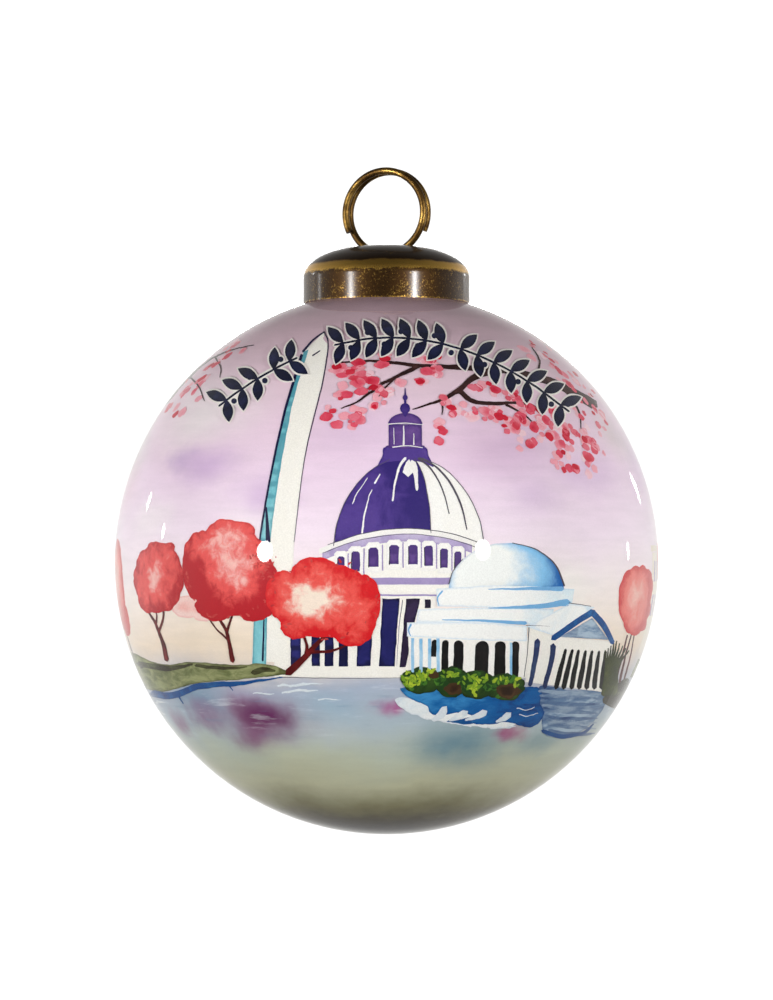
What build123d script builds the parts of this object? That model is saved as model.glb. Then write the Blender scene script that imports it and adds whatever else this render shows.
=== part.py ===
from build123d import *
import os
from math import acos, cos, degrees, radians, sin, sqrt, tan

# A hollow glass ball ornament, painted on the inside of its wall.
# A drawn brass cap is glued over the ball's short neck, and a sprung wire ring hangs in two slots in its roof.
#
# Millimetres, +Z up. The origin is the hanging point, the inside top of the ring, where a hook bears.
# The ring lies in the XZ plane, so its eye opens along Y, and the ball hangs below on the Z axis.
# Heights are worked out from the ball's centre first, and every piece is lowered by hang_height at the end.

# Glass ball
ball_diameter = 80.0
glass_wall = 1.2
neck_root_fillet = 1.0
neck_rim_round = 0.45
rim_round_share = 0.45  # the most of the wall that each round may take, so that the two never meet

# Paint film on the inside of the glass
paint_thickness = 0.15
paint_edge_margin = 0.25  # bare glass left between the neck's root and the film's edge

# Drawn brass cap
cap_diameter = 24.5
cap_sheet = 0.3
cap_height = 8.4  # from the skirt's edge to the crown
cap_dome_height = 4.6  # how much of that height is dome
cap_crown_diameter = 5.5  # flat middle of the roof
cap_seat_gap = 0.03  # between the skirt's inner edge and the glass

# Two slots in the roof, with a bridge left between them that rests on the ring
bridge_width = 2.0
slot_clearance = 0.25
slot_corner_radius = 0.7

# Epoxy bead between the neck and the skirt
glue_gap = 1.95
glue_depth = 2.2  # above the skirt's edge

# Sprung wire ring, a helix about the Y axis with its middle under the bridge
wire_diameter = 1.05
ring_mean_radius = 6.1
strand_gap = 0.45  # between neighbouring turns of the wire
bearing_gap = 0.08  # between the wire and the underside of the bridge
wire_end_clearance = 0.35  # between a wire end and the roof when the ring is swung over
rim_room = 2.0  # between the wire and the glass rim
swing_limit = 35.0  # degrees each way

# Radii that follow from them
ball_radius = ball_diameter / 2
ball_inner_radius = ball_radius - glass_wall
wire_radius = wire_diameter / 2
cap_radius = cap_diameter / 2
cap_inner_radius = cap_radius - cap_sheet
crown_radius = cap_crown_diameter / 2
neck_radius = cap_inner_radius - glue_gap
neck_inner_radius = neck_radius - glass_wall
bridge_half = bridge_width / 2

# Heights above the ball's centre
skirt_edge_z = sqrt(ball_radius**2 - cap_inner_radius**2) + cap_seat_gap
crown_z = skirt_edge_z + cap_height
roof_under_z = crown_z - cap_sheet
wire_inside_radius = ring_mean_radius - wire_radius
ring_centre_z = roof_under_z - bearing_gap + sqrt(wire_inside_radius**2 - bridge_half**2)
pivot_z = ring_centre_z - ring_mean_radius
rim_z = pivot_z - wire_radius - rim_room
hang_height = ring_centre_z + wire_inside_radius

# The wire's turns: each end stops where it still clears the roof at the swing limit
swing = radians(swing_limit)
ring_pitch = wire_diameter + strand_gap
crown_above_pivot = crown_z - pivot_z
end_reach = crown_above_pivot + wire_radius + wire_end_clearance + ring_pitch * sin(swing)
end_angle = degrees(acos(1 - end_reach / cos(swing) / ring_mean_radius))
ring_turns = 2 - end_angle / 180

# The slots take the wire as it leans at the swing limit, where it crosses the roof furthest out
wire_outside_radius = ring_mean_radius + wire_radius
lean_reach = ring_mean_radius - crown_above_pivot / cos(swing)
slot_far_x = sqrt(wire_outside_radius**2 - lean_reach**2) + slot_clearance
wire_exit_angle = degrees(acos(lean_reach / ring_mean_radius))
wire_drift = ring_pitch * wire_exit_angle / 360
wire_lean = crown_above_pivot * tan(swing)
slot_half_width = wire_lean + (wire_radius + wire_drift) / cos(swing) + slot_clearance


def turned(outline):
    """The solid made by turning an outline, drawn with X as radius and Y as height, about the Z axis."""
    return revolve(Plane.XZ * outline, Axis.Z)


def corner(outline, x, y):
    """The outline's corner nearest to a point."""
    return outline.vertices().sort_by_distance((x, y, 0))[0]


def glass_ball():
    """Blown ball and open neck in one wall, with a fire-polished rim."""
    neck_root_z = sqrt(ball_radius**2 - neck_radius**2)
    inner_root_z = sqrt(ball_inner_radius**2 - neck_inner_radius**2)
    root_angle = degrees(acos(neck_radius / ball_radius))
    inner_root_angle = degrees(acos(neck_inner_radius / ball_inner_radius))
    outline = make_face(
        [
            CenterArc((0, 0), ball_radius, -90, 90 + root_angle),
            Line((neck_radius, neck_root_z), (neck_radius, rim_z)),
            Line((neck_radius, rim_z), (neck_inner_radius, rim_z)),
            Line((neck_inner_radius, rim_z), (neck_inner_radius, inner_root_z)),
            CenterArc((0, 0), ball_inner_radius, inner_root_angle, -90 - inner_root_angle),
            Line((0, -ball_inner_radius), (0, -ball_radius)),
        ]
    )
    outline = fillet(corner(outline, neck_radius, neck_root_z), neck_root_fillet)
    outline = fillet(corner(outline, neck_inner_radius, inner_root_z), neck_root_fillet)
    rim_round = min(neck_rim_round, glass_wall * rim_round_share)
    outline = fillet(corner(outline, neck_radius, rim_z), rim_round)
    outline = fillet(corner(outline, neck_inner_radius, rim_z), rim_round)
    return turned(outline)


def painted_lining():
    """Paint film that covers the inside of the ball up to the root of the neck."""
    film_radius = ball_inner_radius - paint_thickness
    root_share = ball_inner_radius / (ball_inner_radius + neck_root_fillet)
    opening_radius = (neck_inner_radius + neck_root_fillet) * root_share + paint_edge_margin
    edge_angle = degrees(acos(opening_radius / ball_inner_radius))
    outer_arc = CenterArc((0, 0), ball_inner_radius, -90, 90 + edge_angle)
    inner_arc = CenterArc((0, 0), film_radius, -90, 90 + edge_angle)
    edge = Line(outer_arc @ 1, inner_arc @ 1)
    pole = Line(outer_arc @ 0, inner_arc @ 0)
    outline = make_face([outer_arc, edge, inner_arc, pole])
    return turned(outline)


def cap_shell():
    """Round cap drawn from sheet: straight skirt, domed roof, flat crown with the two ring slots."""
    dome_width = cap_radius - crown_radius
    spring_z = crown_z - cap_dome_height
    inner_dome = (dome_width - cap_sheet, cap_dome_height - cap_sheet)
    outline = make_face(
        [
            Line((0, crown_z), (crown_radius, crown_z)),
            EllipticalCenterArc((crown_radius, spring_z), dome_width, cap_dome_height, arc_size=90),
            Line((cap_radius, spring_z), (cap_radius, skirt_edge_z)),
            Line((cap_radius, skirt_edge_z), (cap_inner_radius, skirt_edge_z)),
            Line((cap_inner_radius, skirt_edge_z), (cap_inner_radius, spring_z)),
            EllipticalCenterArc((crown_radius, spring_z), *inner_dome, arc_size=90),
            Line((crown_radius, roof_under_z), (0, roof_under_z)),
            Line((0, roof_under_z), (0, crown_z)),
        ]
    )
    shell = turned(outline)
    slot_length = slot_far_x - bridge_half
    slot = RectangleRounded(slot_length, 2 * slot_half_width, slot_corner_radius)
    punch = extrude(slot, cap_height)
    for side in (-1, 1):
        punch_x = side * (bridge_half + slot_length / 2)
        shell -= Pos(punch_x, 0, crown_z - cap_dome_height) * punch
    return shell


def adhesive_ring(ball):
    """Epoxy bead that fills the foot of the gap between the skirt and the neck, down to the glass."""
    bead_bottom_z = skirt_edge_z + cap_seat_gap
    bead_top_z = skirt_edge_z + glue_depth
    band = Cylinder(cap_inner_radius, bead_top_z - bead_bottom_z) - Cylinder(neck_radius, glue_depth)
    return Pos(0, 0, (bead_bottom_z + bead_top_z) / 2) * band - ball


def hanger_ring():
    """Sprung wire helix. Its middle lies at the bottom of the ring, on the XZ plane."""
    height = ring_pitch * ring_turns
    path = Helix(ring_pitch, height, ring_mean_radius)
    section = Plane(origin=path @ 0, z_dir=path % 0) * Circle(wire_radius)
    wire = sweep(section, path, is_frenet=True)
    centred = Rot(0, 0, -180 * ring_turns) * Pos(0, 0, -height / 2) * wire
    upright = Plane(origin=(0, 0, ring_centre_z), x_dir=(0, 0, -1), z_dir=(0, 1, 0))
    return upright.location * centred


ball = glass_ball()
pieces = {
    "glass_ball": ball,
    "painted_lining": painted_lining(),
    "cap_shell": cap_shell(),
    "adhesive_ring": adhesive_ring(ball),
    "hanger_ring": hanger_ring(),
}

os.makedirs("parts", exist_ok=True)
for name, piece in pieces.items():
    export_step(Pos(0, 0, -hang_height) * piece, f"parts/{name}.step")

print("ball centre z", round(-hang_height, 4))
print("ring centre z", round(ring_centre_z - hang_height, 4))
print("swing axis z", round(pivot_z - hang_height, 4))
print("crown z", round(crown_z - hang_height, 4))
print("glass rim z", round(rim_z - hang_height, 4))
print("ring turns", round(ring_turns, 4))
print("slot far x and half width", round(slot_far_x, 3), round(slot_half_width, 3))
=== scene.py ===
# %% [markdown]
# # A glass ball ornament, painted on the inside
# The real thing is a blown glass ball with a short neck. A painter works through the neck with a bent
# brush and lays the picture on the inside of the wall, front marks first and sky last, so it is seen
# through the glass. A brass cap is glued over the neck, and a sprung wire ring hangs in two slots in it.
# The glass, cap, glue and ring keep the shapes of the engineering model. The picture is built here, one
# thin skin of paint for each kind of mark, because a crisp brush edge is a shape and not a shade.

# %% Load the frame
import math
import random

import bpy
import numpy as np
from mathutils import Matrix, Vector, kdtree, noise
from mathutils.geometry import delaunay_2d_cdt


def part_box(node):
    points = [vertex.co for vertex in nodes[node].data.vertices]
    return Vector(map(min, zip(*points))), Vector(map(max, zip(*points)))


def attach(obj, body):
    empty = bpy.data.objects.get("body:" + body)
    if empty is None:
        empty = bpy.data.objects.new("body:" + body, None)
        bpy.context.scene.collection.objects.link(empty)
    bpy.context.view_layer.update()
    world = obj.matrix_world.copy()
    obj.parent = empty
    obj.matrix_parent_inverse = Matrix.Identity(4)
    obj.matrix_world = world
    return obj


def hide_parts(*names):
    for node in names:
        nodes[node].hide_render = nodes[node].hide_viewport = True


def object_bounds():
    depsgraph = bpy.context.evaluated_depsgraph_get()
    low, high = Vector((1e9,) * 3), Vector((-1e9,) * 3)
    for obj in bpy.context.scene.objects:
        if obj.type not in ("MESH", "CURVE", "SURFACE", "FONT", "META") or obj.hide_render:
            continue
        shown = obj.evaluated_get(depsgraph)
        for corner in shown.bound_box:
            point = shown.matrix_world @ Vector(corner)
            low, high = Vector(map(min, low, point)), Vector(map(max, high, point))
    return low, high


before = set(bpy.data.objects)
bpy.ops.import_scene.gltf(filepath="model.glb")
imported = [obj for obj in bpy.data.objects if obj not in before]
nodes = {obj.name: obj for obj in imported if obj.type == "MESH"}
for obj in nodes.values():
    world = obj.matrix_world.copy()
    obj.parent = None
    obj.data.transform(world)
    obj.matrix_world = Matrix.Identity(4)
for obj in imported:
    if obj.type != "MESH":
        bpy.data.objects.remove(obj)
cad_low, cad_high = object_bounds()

mm = 0.001
print("model box", [round(c / mm, 2) for c in (*cad_low, *cad_high)])

# %% [markdown]
# ## Sizes that everything else is placed by
# They are read from the model's boxes: the ball's centre and wall, the edge of the lining at the neck, and
# the cap.
# Paint wets the glass, so no air is left between them and the picture is seen right out to the ball's
# edge. The skins of paint therefore reach into the inner face: 0.05 mm at the sky, 0.2 mm at the last marks.

# %% Read the ball's sizes
ball_low, ball_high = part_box("glass_ball")
lining_low, lining_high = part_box("painted_lining")
cap_low, cap_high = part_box("cap_shell")

ball_radius = (ball_high.x - ball_low.x) / 2
ball_centre = Vector((0, 0, ball_low.z + ball_radius))
glass_inner_radius = (lining_high.x - lining_low.x) / 2
film_edge_height = lining_high.z - ball_centre.z
film_radius = glass_inner_radius + 0.05 * mm
film_thickness = 0.20 * mm
coat_step = 0.013 * mm
coat_thickness = 0.009 * mm
glass_ior = 1.5
up = np.array((0.0, 0.0, 1.0))
print("ball radius", round(ball_radius / mm, 2), "paint radius", round(film_radius / mm, 2))

# %% [markdown]
# ## Camera
# The ornament is seen from its front right, level with the middle of the ball. A long lens from half a
# metre keeps the ball round and the cap's lower edge almost flat, as a catalogue shot does.

# %% Set up the camera
view_turn = 24.0
view_distance = 0.48
view_lens = 117.0


def viewer_axes(turn):
    """The level direction towards a viewer who stands at that turn round the ball, and their right."""
    angle = math.radians(turn)
    toward = np.array((math.sin(angle), -math.cos(angle), 0.0))
    right = np.array((math.cos(angle), math.sin(angle), 0.0))
    return toward, right


camera = bpy.data.objects.new("camera", bpy.data.cameras.new("camera"))
bpy.context.scene.collection.objects.link(camera)
bpy.context.scene.camera = camera
camera.data.lens = view_lens
camera.data.clip_start = 0.01
camera.location = ball_centre + Vector(viewer_axes(view_turn)[0]) * view_distance
aim = (cad_low + cad_high) / 2 - camera.location
camera.rotation_mode = "QUATERNION"
camera.rotation_quaternion = aim.to_track_quat("-Z", "Y")
print("camera", [round(c, 3) for c in camera.location])

# %% [markdown]
# ## Small helpers for node trees
# A material is a little network. These helpers add a node, fill in its fixed values and wire its inputs,
# so that each material below reads as a recipe.


# %% Helpers for node trees
def paint_colour(red, green, blue):
    """A colour given on the usual 0 to 255 scale, as the linear colour that shaders want."""
    shares = [c / 255 for c in (red, green, blue)]
    linear = [c / 12.92 if c < 0.04045 else ((c + 0.055) / 1.055) ** 2.4 for c in shares]
    return (*linear, 1.0)


def add_node(tree, kind, settings=None, **inputs):
    """A node of that kind. Settings are its own properties; an input takes a value or another socket."""
    node = tree.nodes.new(kind)
    for name, value in (settings or {}).items():
        setattr(node, name, value)
    for name, value in inputs.items():
        key = int(name[1:]) if name[1:].isdigit() else name.replace("_", " ")
        if isinstance(value, bpy.types.NodeSocket):
            tree.links.new(value, node.inputs[key])
        else:
            node.inputs[key].default_value = value
    return node


def sum_up(tree, operation, *values, clamp=False):
    """The result socket of a Math node."""
    inputs = {f"_{i}": value for i, value in enumerate(values)}
    return add_node(tree, "ShaderNodeMath", {"operation": operation, "use_clamp": clamp}, **inputs).outputs[
        0
    ]


def blend_colours(tree, share, first, second, mode="MIX"):
    """The colour socket of a Mix node: first at share 0 and second at share 1."""
    node = tree.nodes.new("ShaderNodeMix")
    node.data_type = "RGBA"
    node.blend_type = mode
    for key, value in ((0, share), (6, first), (7, second)):
        if isinstance(value, bpy.types.NodeSocket):
            tree.links.new(value, node.inputs[key])
        else:
            node.inputs[key].default_value = value
    return node.outputs[2]


def ease(tree, value, low, high, to_low=0.0, to_high=1.0):
    """A smooth step of a value from one range to another."""
    settings = {"interpolation_type": "SMOOTHSTEP"}
    node = add_node(tree, "ShaderNodeMapRange", settings, Value=value, From_Min=low, From_Max=high)
    node.inputs["To Min"].default_value = to_low
    node.inputs["To Max"].default_value = to_high
    return node.outputs[0]


def new_group(name, inputs, outputs):
    """An empty shader group with named sockets, as (tree, its inputs' node, its outputs' node)."""
    tree = bpy.data.node_groups.new(name, "ShaderNodeTree")
    for kind, rows in (("INPUT", inputs), ("OUTPUT", outputs)):
        for label, socket, *default in rows:
            made = tree.interface.new_socket(label, in_out=kind, socket_type=f"NodeSocket{socket}")
            if default:
                made.default_value = default[0]
    return tree, tree.nodes.new("NodeGroupInput"), tree.nodes.new("NodeGroupOutput")


def use_group(tree, group, **inputs):
    """A copy of a group in a material, with its own values."""
    return add_node(tree, "ShaderNodeGroup", {"node_tree": group}, **inputs)


def new_material(name):
    """An empty material, as (material, tree, Principled node). The Principled node feeds the output."""
    material = bpy.data.materials.new(name)
    material.use_nodes = True
    tree = material.node_tree
    return material, tree, tree.nodes["Principled BSDF"]


def wire(tree, shader, **sockets):
    """Wires sockets into the shader's inputs."""
    for name, socket in sockets.items():
        tree.links.new(socket, shader.inputs[name.replace("_", " ")])


# %% [markdown]
# ## Studio
# Two small strong lamps stand left and right of the camera, at its height: they give the two hot spots
# on the glass and the two bright bars on the cap. Small ones further round give short upright glints at
# the sides. Each lamp fades towards its edge, as a softbox does, so its glint has no hard border. The
# walls are dark behind the camera, so that dark paint stays dark, and bright at the sides and back. The
# ceiling is dark, which makes the cap's roof look dark bronze. The pale floor lies well below. It has
# a faint glow of its own to look pale, and the ball neither mirrors it nor takes light from it.

# %% Light the studio
lamp_distance = 0.75


def fade_out(light):
    """Makes an area lamp fade smoothly from its middle to its edge."""
    light.use_nodes = True
    tree = light.node_tree
    spot = add_node(tree, "ShaderNodeNewGeometry").outputs["Parametric"]
    apart = add_node(tree, "ShaderNodeVectorMath", {"operation": "DISTANCE"}, _0=spot, _1=(0.5, 0.5, 0.0))
    tree.nodes["Emission"].inputs["Strength"].default_value = 1.0
    tree.links.new(
        ease(tree, apart.outputs["Value"], 0.5, 0.12, 0.0, 2.4), tree.nodes["Emission"].inputs["Strength"]
    )


def add_lamp(name, turn, height, width, tall, power):
    """A soft lamp that faces the ball from that turn round it, in degrees from the camera."""
    toward, _ = viewer_axes(view_turn + turn)
    light = bpy.data.lights.new(name, "AREA")
    light.shape = "RECTANGLE"
    light.size, light.size_y, light.energy = width, tall, power
    fade_out(light)
    lamp = bpy.data.objects.new(name, light)
    bpy.context.scene.collection.objects.link(lamp)
    lamp.location = ball_centre + Vector(toward) * lamp_distance + Vector((0, 0, height))
    lamp.rotation_mode = "QUATERNION"
    lamp.rotation_quaternion = (ball_centre - lamp.location).to_track_quat("-Z", "Y")
    return lamp


add_lamp("lamp_left", -50.0, 0.05, 0.10, 0.11, 4.7)
add_lamp("lamp_right", 39.0, 0.06, 0.09, 0.11, 4.7)
add_lamp("glint_left_near", -106.0, 0.10, 0.03, 0.06, 0.12)
add_lamp("glint_left_far", -123.0, 0.16, 0.03, 0.06, 0.15)
add_lamp("glint_right_near", 119.0, 0.03, 0.03, 0.06, 0.10)
add_lamp("glint_right_far", 141.0, 0.14, 0.03, 0.07, 0.15)
add_lamp("lamp_behind", 180.0, 0.10, 0.20, 0.20, 3.4)

world = bpy.data.worlds.new("studio")
bpy.context.scene.world = world
world.use_nodes = True
sky = world.node_tree
sky.nodes.clear()
gaze = add_node(sky, "ShaderNodeTexCoord").outputs["Generated"]
gaze_z = add_node(sky, "ShaderNodeSeparateXYZ", Vector=gaze).outputs["Z"]
ramp = add_node(sky, "ShaderNodeValToRGB", Fac=sum_up(sky, "MULTIPLY_ADD", gaze_z, 0.5, 0.5))
wall_stops = ((0.0, 0.32), (0.28, 0.50), (0.42, 0.88), (0.52, 1.0), (0.62, 0.92), (0.76, 0.34), (1.0, 0.10))
ramp.color_ramp.elements.remove(ramp.color_ramp.elements[1])
for spot, level in wall_stops:
    first = spot == 0.0
    stop = ramp.color_ramp.elements[0] if first else ramp.color_ramp.elements.new(spot)
    stop.color = (level, level * 0.99, level * 0.97, 1.0)
behind = tuple(-viewer_axes(view_turn)[0])
facing = add_node(sky, "ShaderNodeVectorMath", {"operation": "DOT_PRODUCT"}, _0=gaze, _1=behind)
wall_side = ease(sky, facing.outputs["Value"], -0.6, 0.6, 0.14, 0.85)
walls = blend_colours(sky, 1.0, ramp.outputs[0], wall_side, "MULTIPLY")
light_path = add_node(sky, "ShaderNodeLightPath")
seen = blend_colours(sky, light_path.outputs["Is Camera Ray"], walls, (1, 1, 1, 1))
room = add_node(sky, "ShaderNodeBackground", Color=seen, Strength=1.12)
sky.links.new(room.outputs[0], add_node(sky, "ShaderNodeOutputWorld").inputs["Surface"])
bpy.context.scene.view_settings.view_transform = "Standard"

floor_drop = 0.36
floor_reach = 1.2
bpy.ops.mesh.primitive_circle_add(vertices=96, radius=floor_reach, fill_type="NGON")
floor = bpy.context.object
floor.name = "studio_floor"
floor.location = (0, 0, ball_centre.z - floor_drop)
floor_paint, _, floor_shader = new_material("pale_floor")
floor_shader.inputs["Base Color"].default_value = (0.82, 0.82, 0.81, 1)
floor_shader.inputs["Roughness"].default_value = 0.8
floor_shader.inputs["Emission Color"].default_value = (1.0, 0.995, 0.985, 1)
floor_shader.inputs["Emission Strength"].default_value = 0.58
floor.data.materials.append(floor_paint)
floor.visible_diffuse = False
floor.visible_glossy = False
floor.visible_transmission = False

# %% [markdown]
# ## Watercolour, as a shader group
# Thin paint on glass is never one flat tone. It blooms where it was wet, pools along the edge of a
# stroke as it dries, and carries a fine grain. Every painted skin below holds two values at each point:
# "tone", which says how full the brush was there, and "rim", the distance to the edge of the stroke in
# millimetres. The group turns them into a colour between a thin, a full and a deep mix of one paint.


# %% Build the watercolour group
def build_watercolour():
    inputs = (
        ("Thin", "Color"),
        ("Full", "Color"),
        ("Deep", "Color"),
        ("Bloom Size", "Float", 260.0),
        ("Bloom", "Float", 0.5),
        ("Pool", "Float", 0.5),
        ("Stretch", "Vector", (1.0, 1.0, 1.0)),
    )
    outputs = (("Color", "Color"), ("Roughness", "Float"), ("Height", "Float"))
    tree, given, made = new_group("watercolour", inputs, outputs)
    place = add_node(tree, "ShaderNodeTexCoord").outputs["Object"]
    stretched = add_node(tree, "ShaderNodeVectorMath", {"operation": "MULTIPLY"}, _0=place)
    tree.links.new(given.outputs["Stretch"], stretched.inputs[1])
    tone = add_node(tree, "ShaderNodeAttribute", {"attribute_name": "tone"}).outputs["Fac"]
    rim = add_node(tree, "ShaderNodeAttribute", {"attribute_name": "rim"}).outputs["Fac"]
    bloom = add_node(
        tree,
        "ShaderNodeTexNoise",
        Vector=stretched.outputs[0],
        Scale=given.outputs["Bloom Size"],
        Detail=5.0,
        Roughness=0.62,
        Distortion=0.5,
    ).outputs["Fac"]
    swing = sum_up(tree, "MULTIPLY", sum_up(tree, "SUBTRACT", bloom, 0.5), given.outputs["Bloom"])
    wet = sum_up(tree, "ADD", tone, sum_up(tree, "MULTIPLY", swing, 2.4))
    body = blend_colours(tree, ease(tree, wet, 0.0, 0.62), given.outputs["Thin"], given.outputs["Full"])
    body = blend_colours(tree, ease(tree, wet, 0.60, 1.15), body, given.outputs["Deep"])
    ragged = add_node(tree, "ShaderNodeTexNoise", Vector=place, Scale=1900.0, Detail=3.0).outputs["Fac"]
    reach = sum_up(tree, "MULTIPLY_ADD", ragged, 0.55, 0.08)
    dried = ease(tree, sum_up(tree, "DIVIDE", rim, reach), 1.0, 0.0)
    pooled = sum_up(tree, "MULTIPLY", dried, given.outputs["Pool"])
    body = blend_colours(tree, pooled, body, given.outputs["Deep"])
    grain = add_node(tree, "ShaderNodeTexNoise", Vector=place, Scale=5200.0, Detail=2.0).outputs["Fac"]
    speck = ease(tree, grain, 0.25, 0.8, 0.93, 1.05)
    body = blend_colours(tree, 1.0, body, speck, "MULTIPLY")
    tree.links.new(body, made.inputs["Color"])
    tree.links.new(ease(tree, bloom, 0.2, 0.8, 0.62, 0.42), made.inputs["Roughness"])
    tree.links.new(sum_up(tree, "ADD", bloom, sum_up(tree, "MULTIPLY", grain, 0.4)), made.inputs["Height"])
    return tree


watercolour = build_watercolour()
paints = {}


def mix_paint(name, thin, full, deep, bloom=0.5, size=260.0, pool=0.5, stretch=(1, 1, 1)):
    """A paint that brushes can be dipped in later, from its thin, full and deep colours."""
    material, tree, shader = new_material(f"paint_{name}")
    wash = use_group(
        tree,
        watercolour,
        Thin=paint_colour(*thin),
        Full=paint_colour(*full),
        Deep=paint_colour(*deep),
        Bloom_Size=size,
        Bloom=bloom,
        Pool=pool,
        Stretch=stretch,
    )
    skin = add_node(
        tree, "ShaderNodeBump", Height=wash.outputs["Height"], Strength=0.25, Distance=0.02 * mm
    )
    wire(
        tree,
        shader,
        Base_Color=wash.outputs["Color"],
        Roughness=wash.outputs["Roughness"],
        Normal=skin.outputs[0],
    )
    shader.inputs["Specular IOR Level"].default_value = 0.12
    paints[name] = material
    return material


# %% [markdown]
# ## The picture's plane
# Marks are laid out flat, in millimetres right of and above the middle of the ball, as a viewer sees
# them from a chosen turn round it. A painter does the same in their head. The helper follows the eye's
# ray through the bent glass to the paint, so that a straight mark looks straight from the outside.


# %% Find where a mark lies on the paint
def seen_at(points, turn):
    """Directions from the ball's centre to the paint that a viewer at that turn sees at those points."""
    flat = np.asarray(points, float).reshape(-1, 2) * mm
    toward, right = viewer_axes(turn)
    reach = math.sqrt(view_distance**2 - ball_radius**2)
    ray = flat[:, :1] * right + flat[:, 1:] * up - reach * toward
    ray /= np.linalg.norm(ray, axis=1, keepdims=True)
    eye = view_distance * toward
    side = eye - (ray @ eye)[:, None] * ray
    miss = np.linalg.norm(side, axis=1, keepdims=True)
    side /= np.maximum(miss, 1e-9)
    miss = np.minimum(miss, ball_radius * 0.999)
    angle = np.arcsin(miss / ball_radius) - np.arcsin(miss / glass_ior / ball_radius)
    angle += np.arcsin(miss / glass_ior / film_radius)
    return side * np.sin(angle) - ray * np.cos(angle)


def height_seen(v):
    """The height on the ball, from -1 to 1, of a point seen v millimetres above its middle."""
    return float(seen_at([(0, v)], view_turn)[0, 2])


print("picture's top edge in view", round(height_seen(38), 3))

# %% [markdown]
# ## Outlines
# Every outline is a short list of chosen points, an oval, an arch or a stroke along a line. Curves are
# drawn through the points, and a slow, small wobble makes the edges look drawn by hand.

# %% Draw outlines
outline_step = 0.4


def through(points, closed=False):
    """A smooth line through the points."""
    p = np.asarray(points, float)
    if closed:
        p = np.vstack((p[-1], p, p[:2]))
    else:
        p = np.vstack((2 * p[0] - p[1], p, 2 * p[-1] - p[-2]))
    line = []
    for a, b, c, d in zip(p, p[1:], p[2:], p[3:]):
        count = max(2, int(np.linalg.norm(c - b) / outline_step) + 1)
        for t in np.arange(count) / count:
            line.append(
                0.5 * (
                    2 * b + (c - a) * t + (2 * a - 5 * b + 4 * c - d) * t**2 + (
                        3 * b - a - 3 * c + d
                    ) * t**3
                )
            )
    if not closed:
        line.append(p[-2])
    return np.array(line)


def straight(points):
    """A closed outline with straight sides, with more points along them."""
    p = np.asarray(points, float)
    line = []
    for a, b in zip(p, np.roll(p, -1, axis=0)):
        count = max(1, int(np.linalg.norm(b - a) / outline_step))
        line.extend(a + (b - a) * t for t in np.arange(count) / count)
    return np.array(line)


def oval(u, v, wide, tall, start=0.0, stop=360.0):
    """An oval, or part of one closed by a straight side. Wide and tall are its half sizes."""
    whole = stop - start >= 360.0
    count = max(12, int((wide + tall) * math.pi * (stop - start) / 360.0 / outline_step))
    angle = np.radians(np.linspace(start, stop, count, endpoint=not whole))
    return np.stack((u + wide * np.cos(angle), v + tall * np.sin(angle)), axis=1)


def arched(u, low, high, wide, lean=0.0):
    """An opening with a round head: its middle, foot, top, width, and how far its top leans right."""
    head = oval(0, 0, wide / 2, wide / 2, 0, 180)
    head[:, 1] += high - wide / 2
    outline = straight(np.vstack(((wide / 2, low), head, (-wide / 2, low))))
    outline[:, 0] += u + lean * (outline[:, 1] - low) / (high - low)
    return outline


def box(left, low, right, high):
    """An upright rectangle."""
    return straight(((left, low), (right, low), (right, high), (left, high)))


def stroke(points, width, end_width=None, swell=0.0):
    """A brush stroke along a smooth line, with a round start, that tapers to its end width."""
    line = through(points)
    end_width = width * 0.3 if end_width is None else end_width
    share = np.linspace(0, 1, len(line))
    half = (width + (end_width - width) * share + swell * np.sin(share * math.pi)) / 2
    along = np.gradient(line, axis=0)
    along /= np.maximum(np.linalg.norm(along, axis=1, keepdims=True), 1e-9)
    across = np.stack((-along[:, 1], along[:, 0]), axis=1)
    tip = line[-1] + along[-1] * half[-1]
    tail = line[0] - along[0] * half[0]
    side = across * half[:, None]
    return np.vstack((line + side, tip, (line - side)[::-1], tail))


def crown(u, v, wide, tall, bumps, depth, seed=0.0):
    """A tree's crown: an oval with round bumps along its edge."""
    outline = oval(u, v, wide, tall)
    angle = np.arctan2((outline[:, 1] - v) / tall, (outline[:, 0] - u) / wide)
    bump = np.abs(np.sin(angle * bumps / 2 + seed))
    drift = [noise.noise(Vector((math.cos(a) * 1.3 + seed, math.sin(a) * 1.3, seed))) for a in angle]
    swell = 1 + depth * (bump - 0.6) + 1.6 * depth * np.array(drift)
    return np.array((u, v)) + (outline - (u, v)) * swell[:, None]


# Unless it is seeded, the vector noise starts from the clock, and every outline would differ each run.
noise.seed_set(1)


def by_hand(outline, amount, seed=0.0):
    """The outline with the slow wobble of a hand-held brush."""
    moved = []
    for u, v in outline:
        slow = noise.noise_vector(Vector((u * 0.55, v * 0.55, seed)))
        quick = noise.noise_vector(Vector((u * 2.1, v * 2.1, seed + 9)))
        moved.append((u + amount * (slow.x + 0.45 * quick.x), v + amount * (slow.y + 0.45 * quick.y)))
    return np.array(moved)


# %% [markdown]
# ## From outline to a skin of paint
# The outline is carried to the ball, unrolled to a plane that touches it there, filled with even
# triangles and rolled back. The skin gets a real thickness, so each piece is a closed solid. Skins that
# were painted first lie nearer the glass, one coat apart.

# %% Turn outlines into skins of paint
grid_size = 1.0


def plane_axes(middle):
    """Two directions across a plane that touches the ball at middle, with the first one level."""
    level = np.cross(up, middle)
    level /= np.linalg.norm(level)
    return level, np.cross(middle, level)


def unroll(directions, middle):
    """Directions from the ball's centre as flat places round middle, in millimetres."""
    level, rise = plane_axes(middle)
    angle = np.arccos(np.clip(directions @ middle, -1, 1))
    flat = np.stack((directions @ level, directions @ rise), axis=1)
    size = np.maximum(np.linalg.norm(flat, axis=1), 1e-12)
    return flat * (angle / size * film_radius / mm)[:, None]


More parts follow.
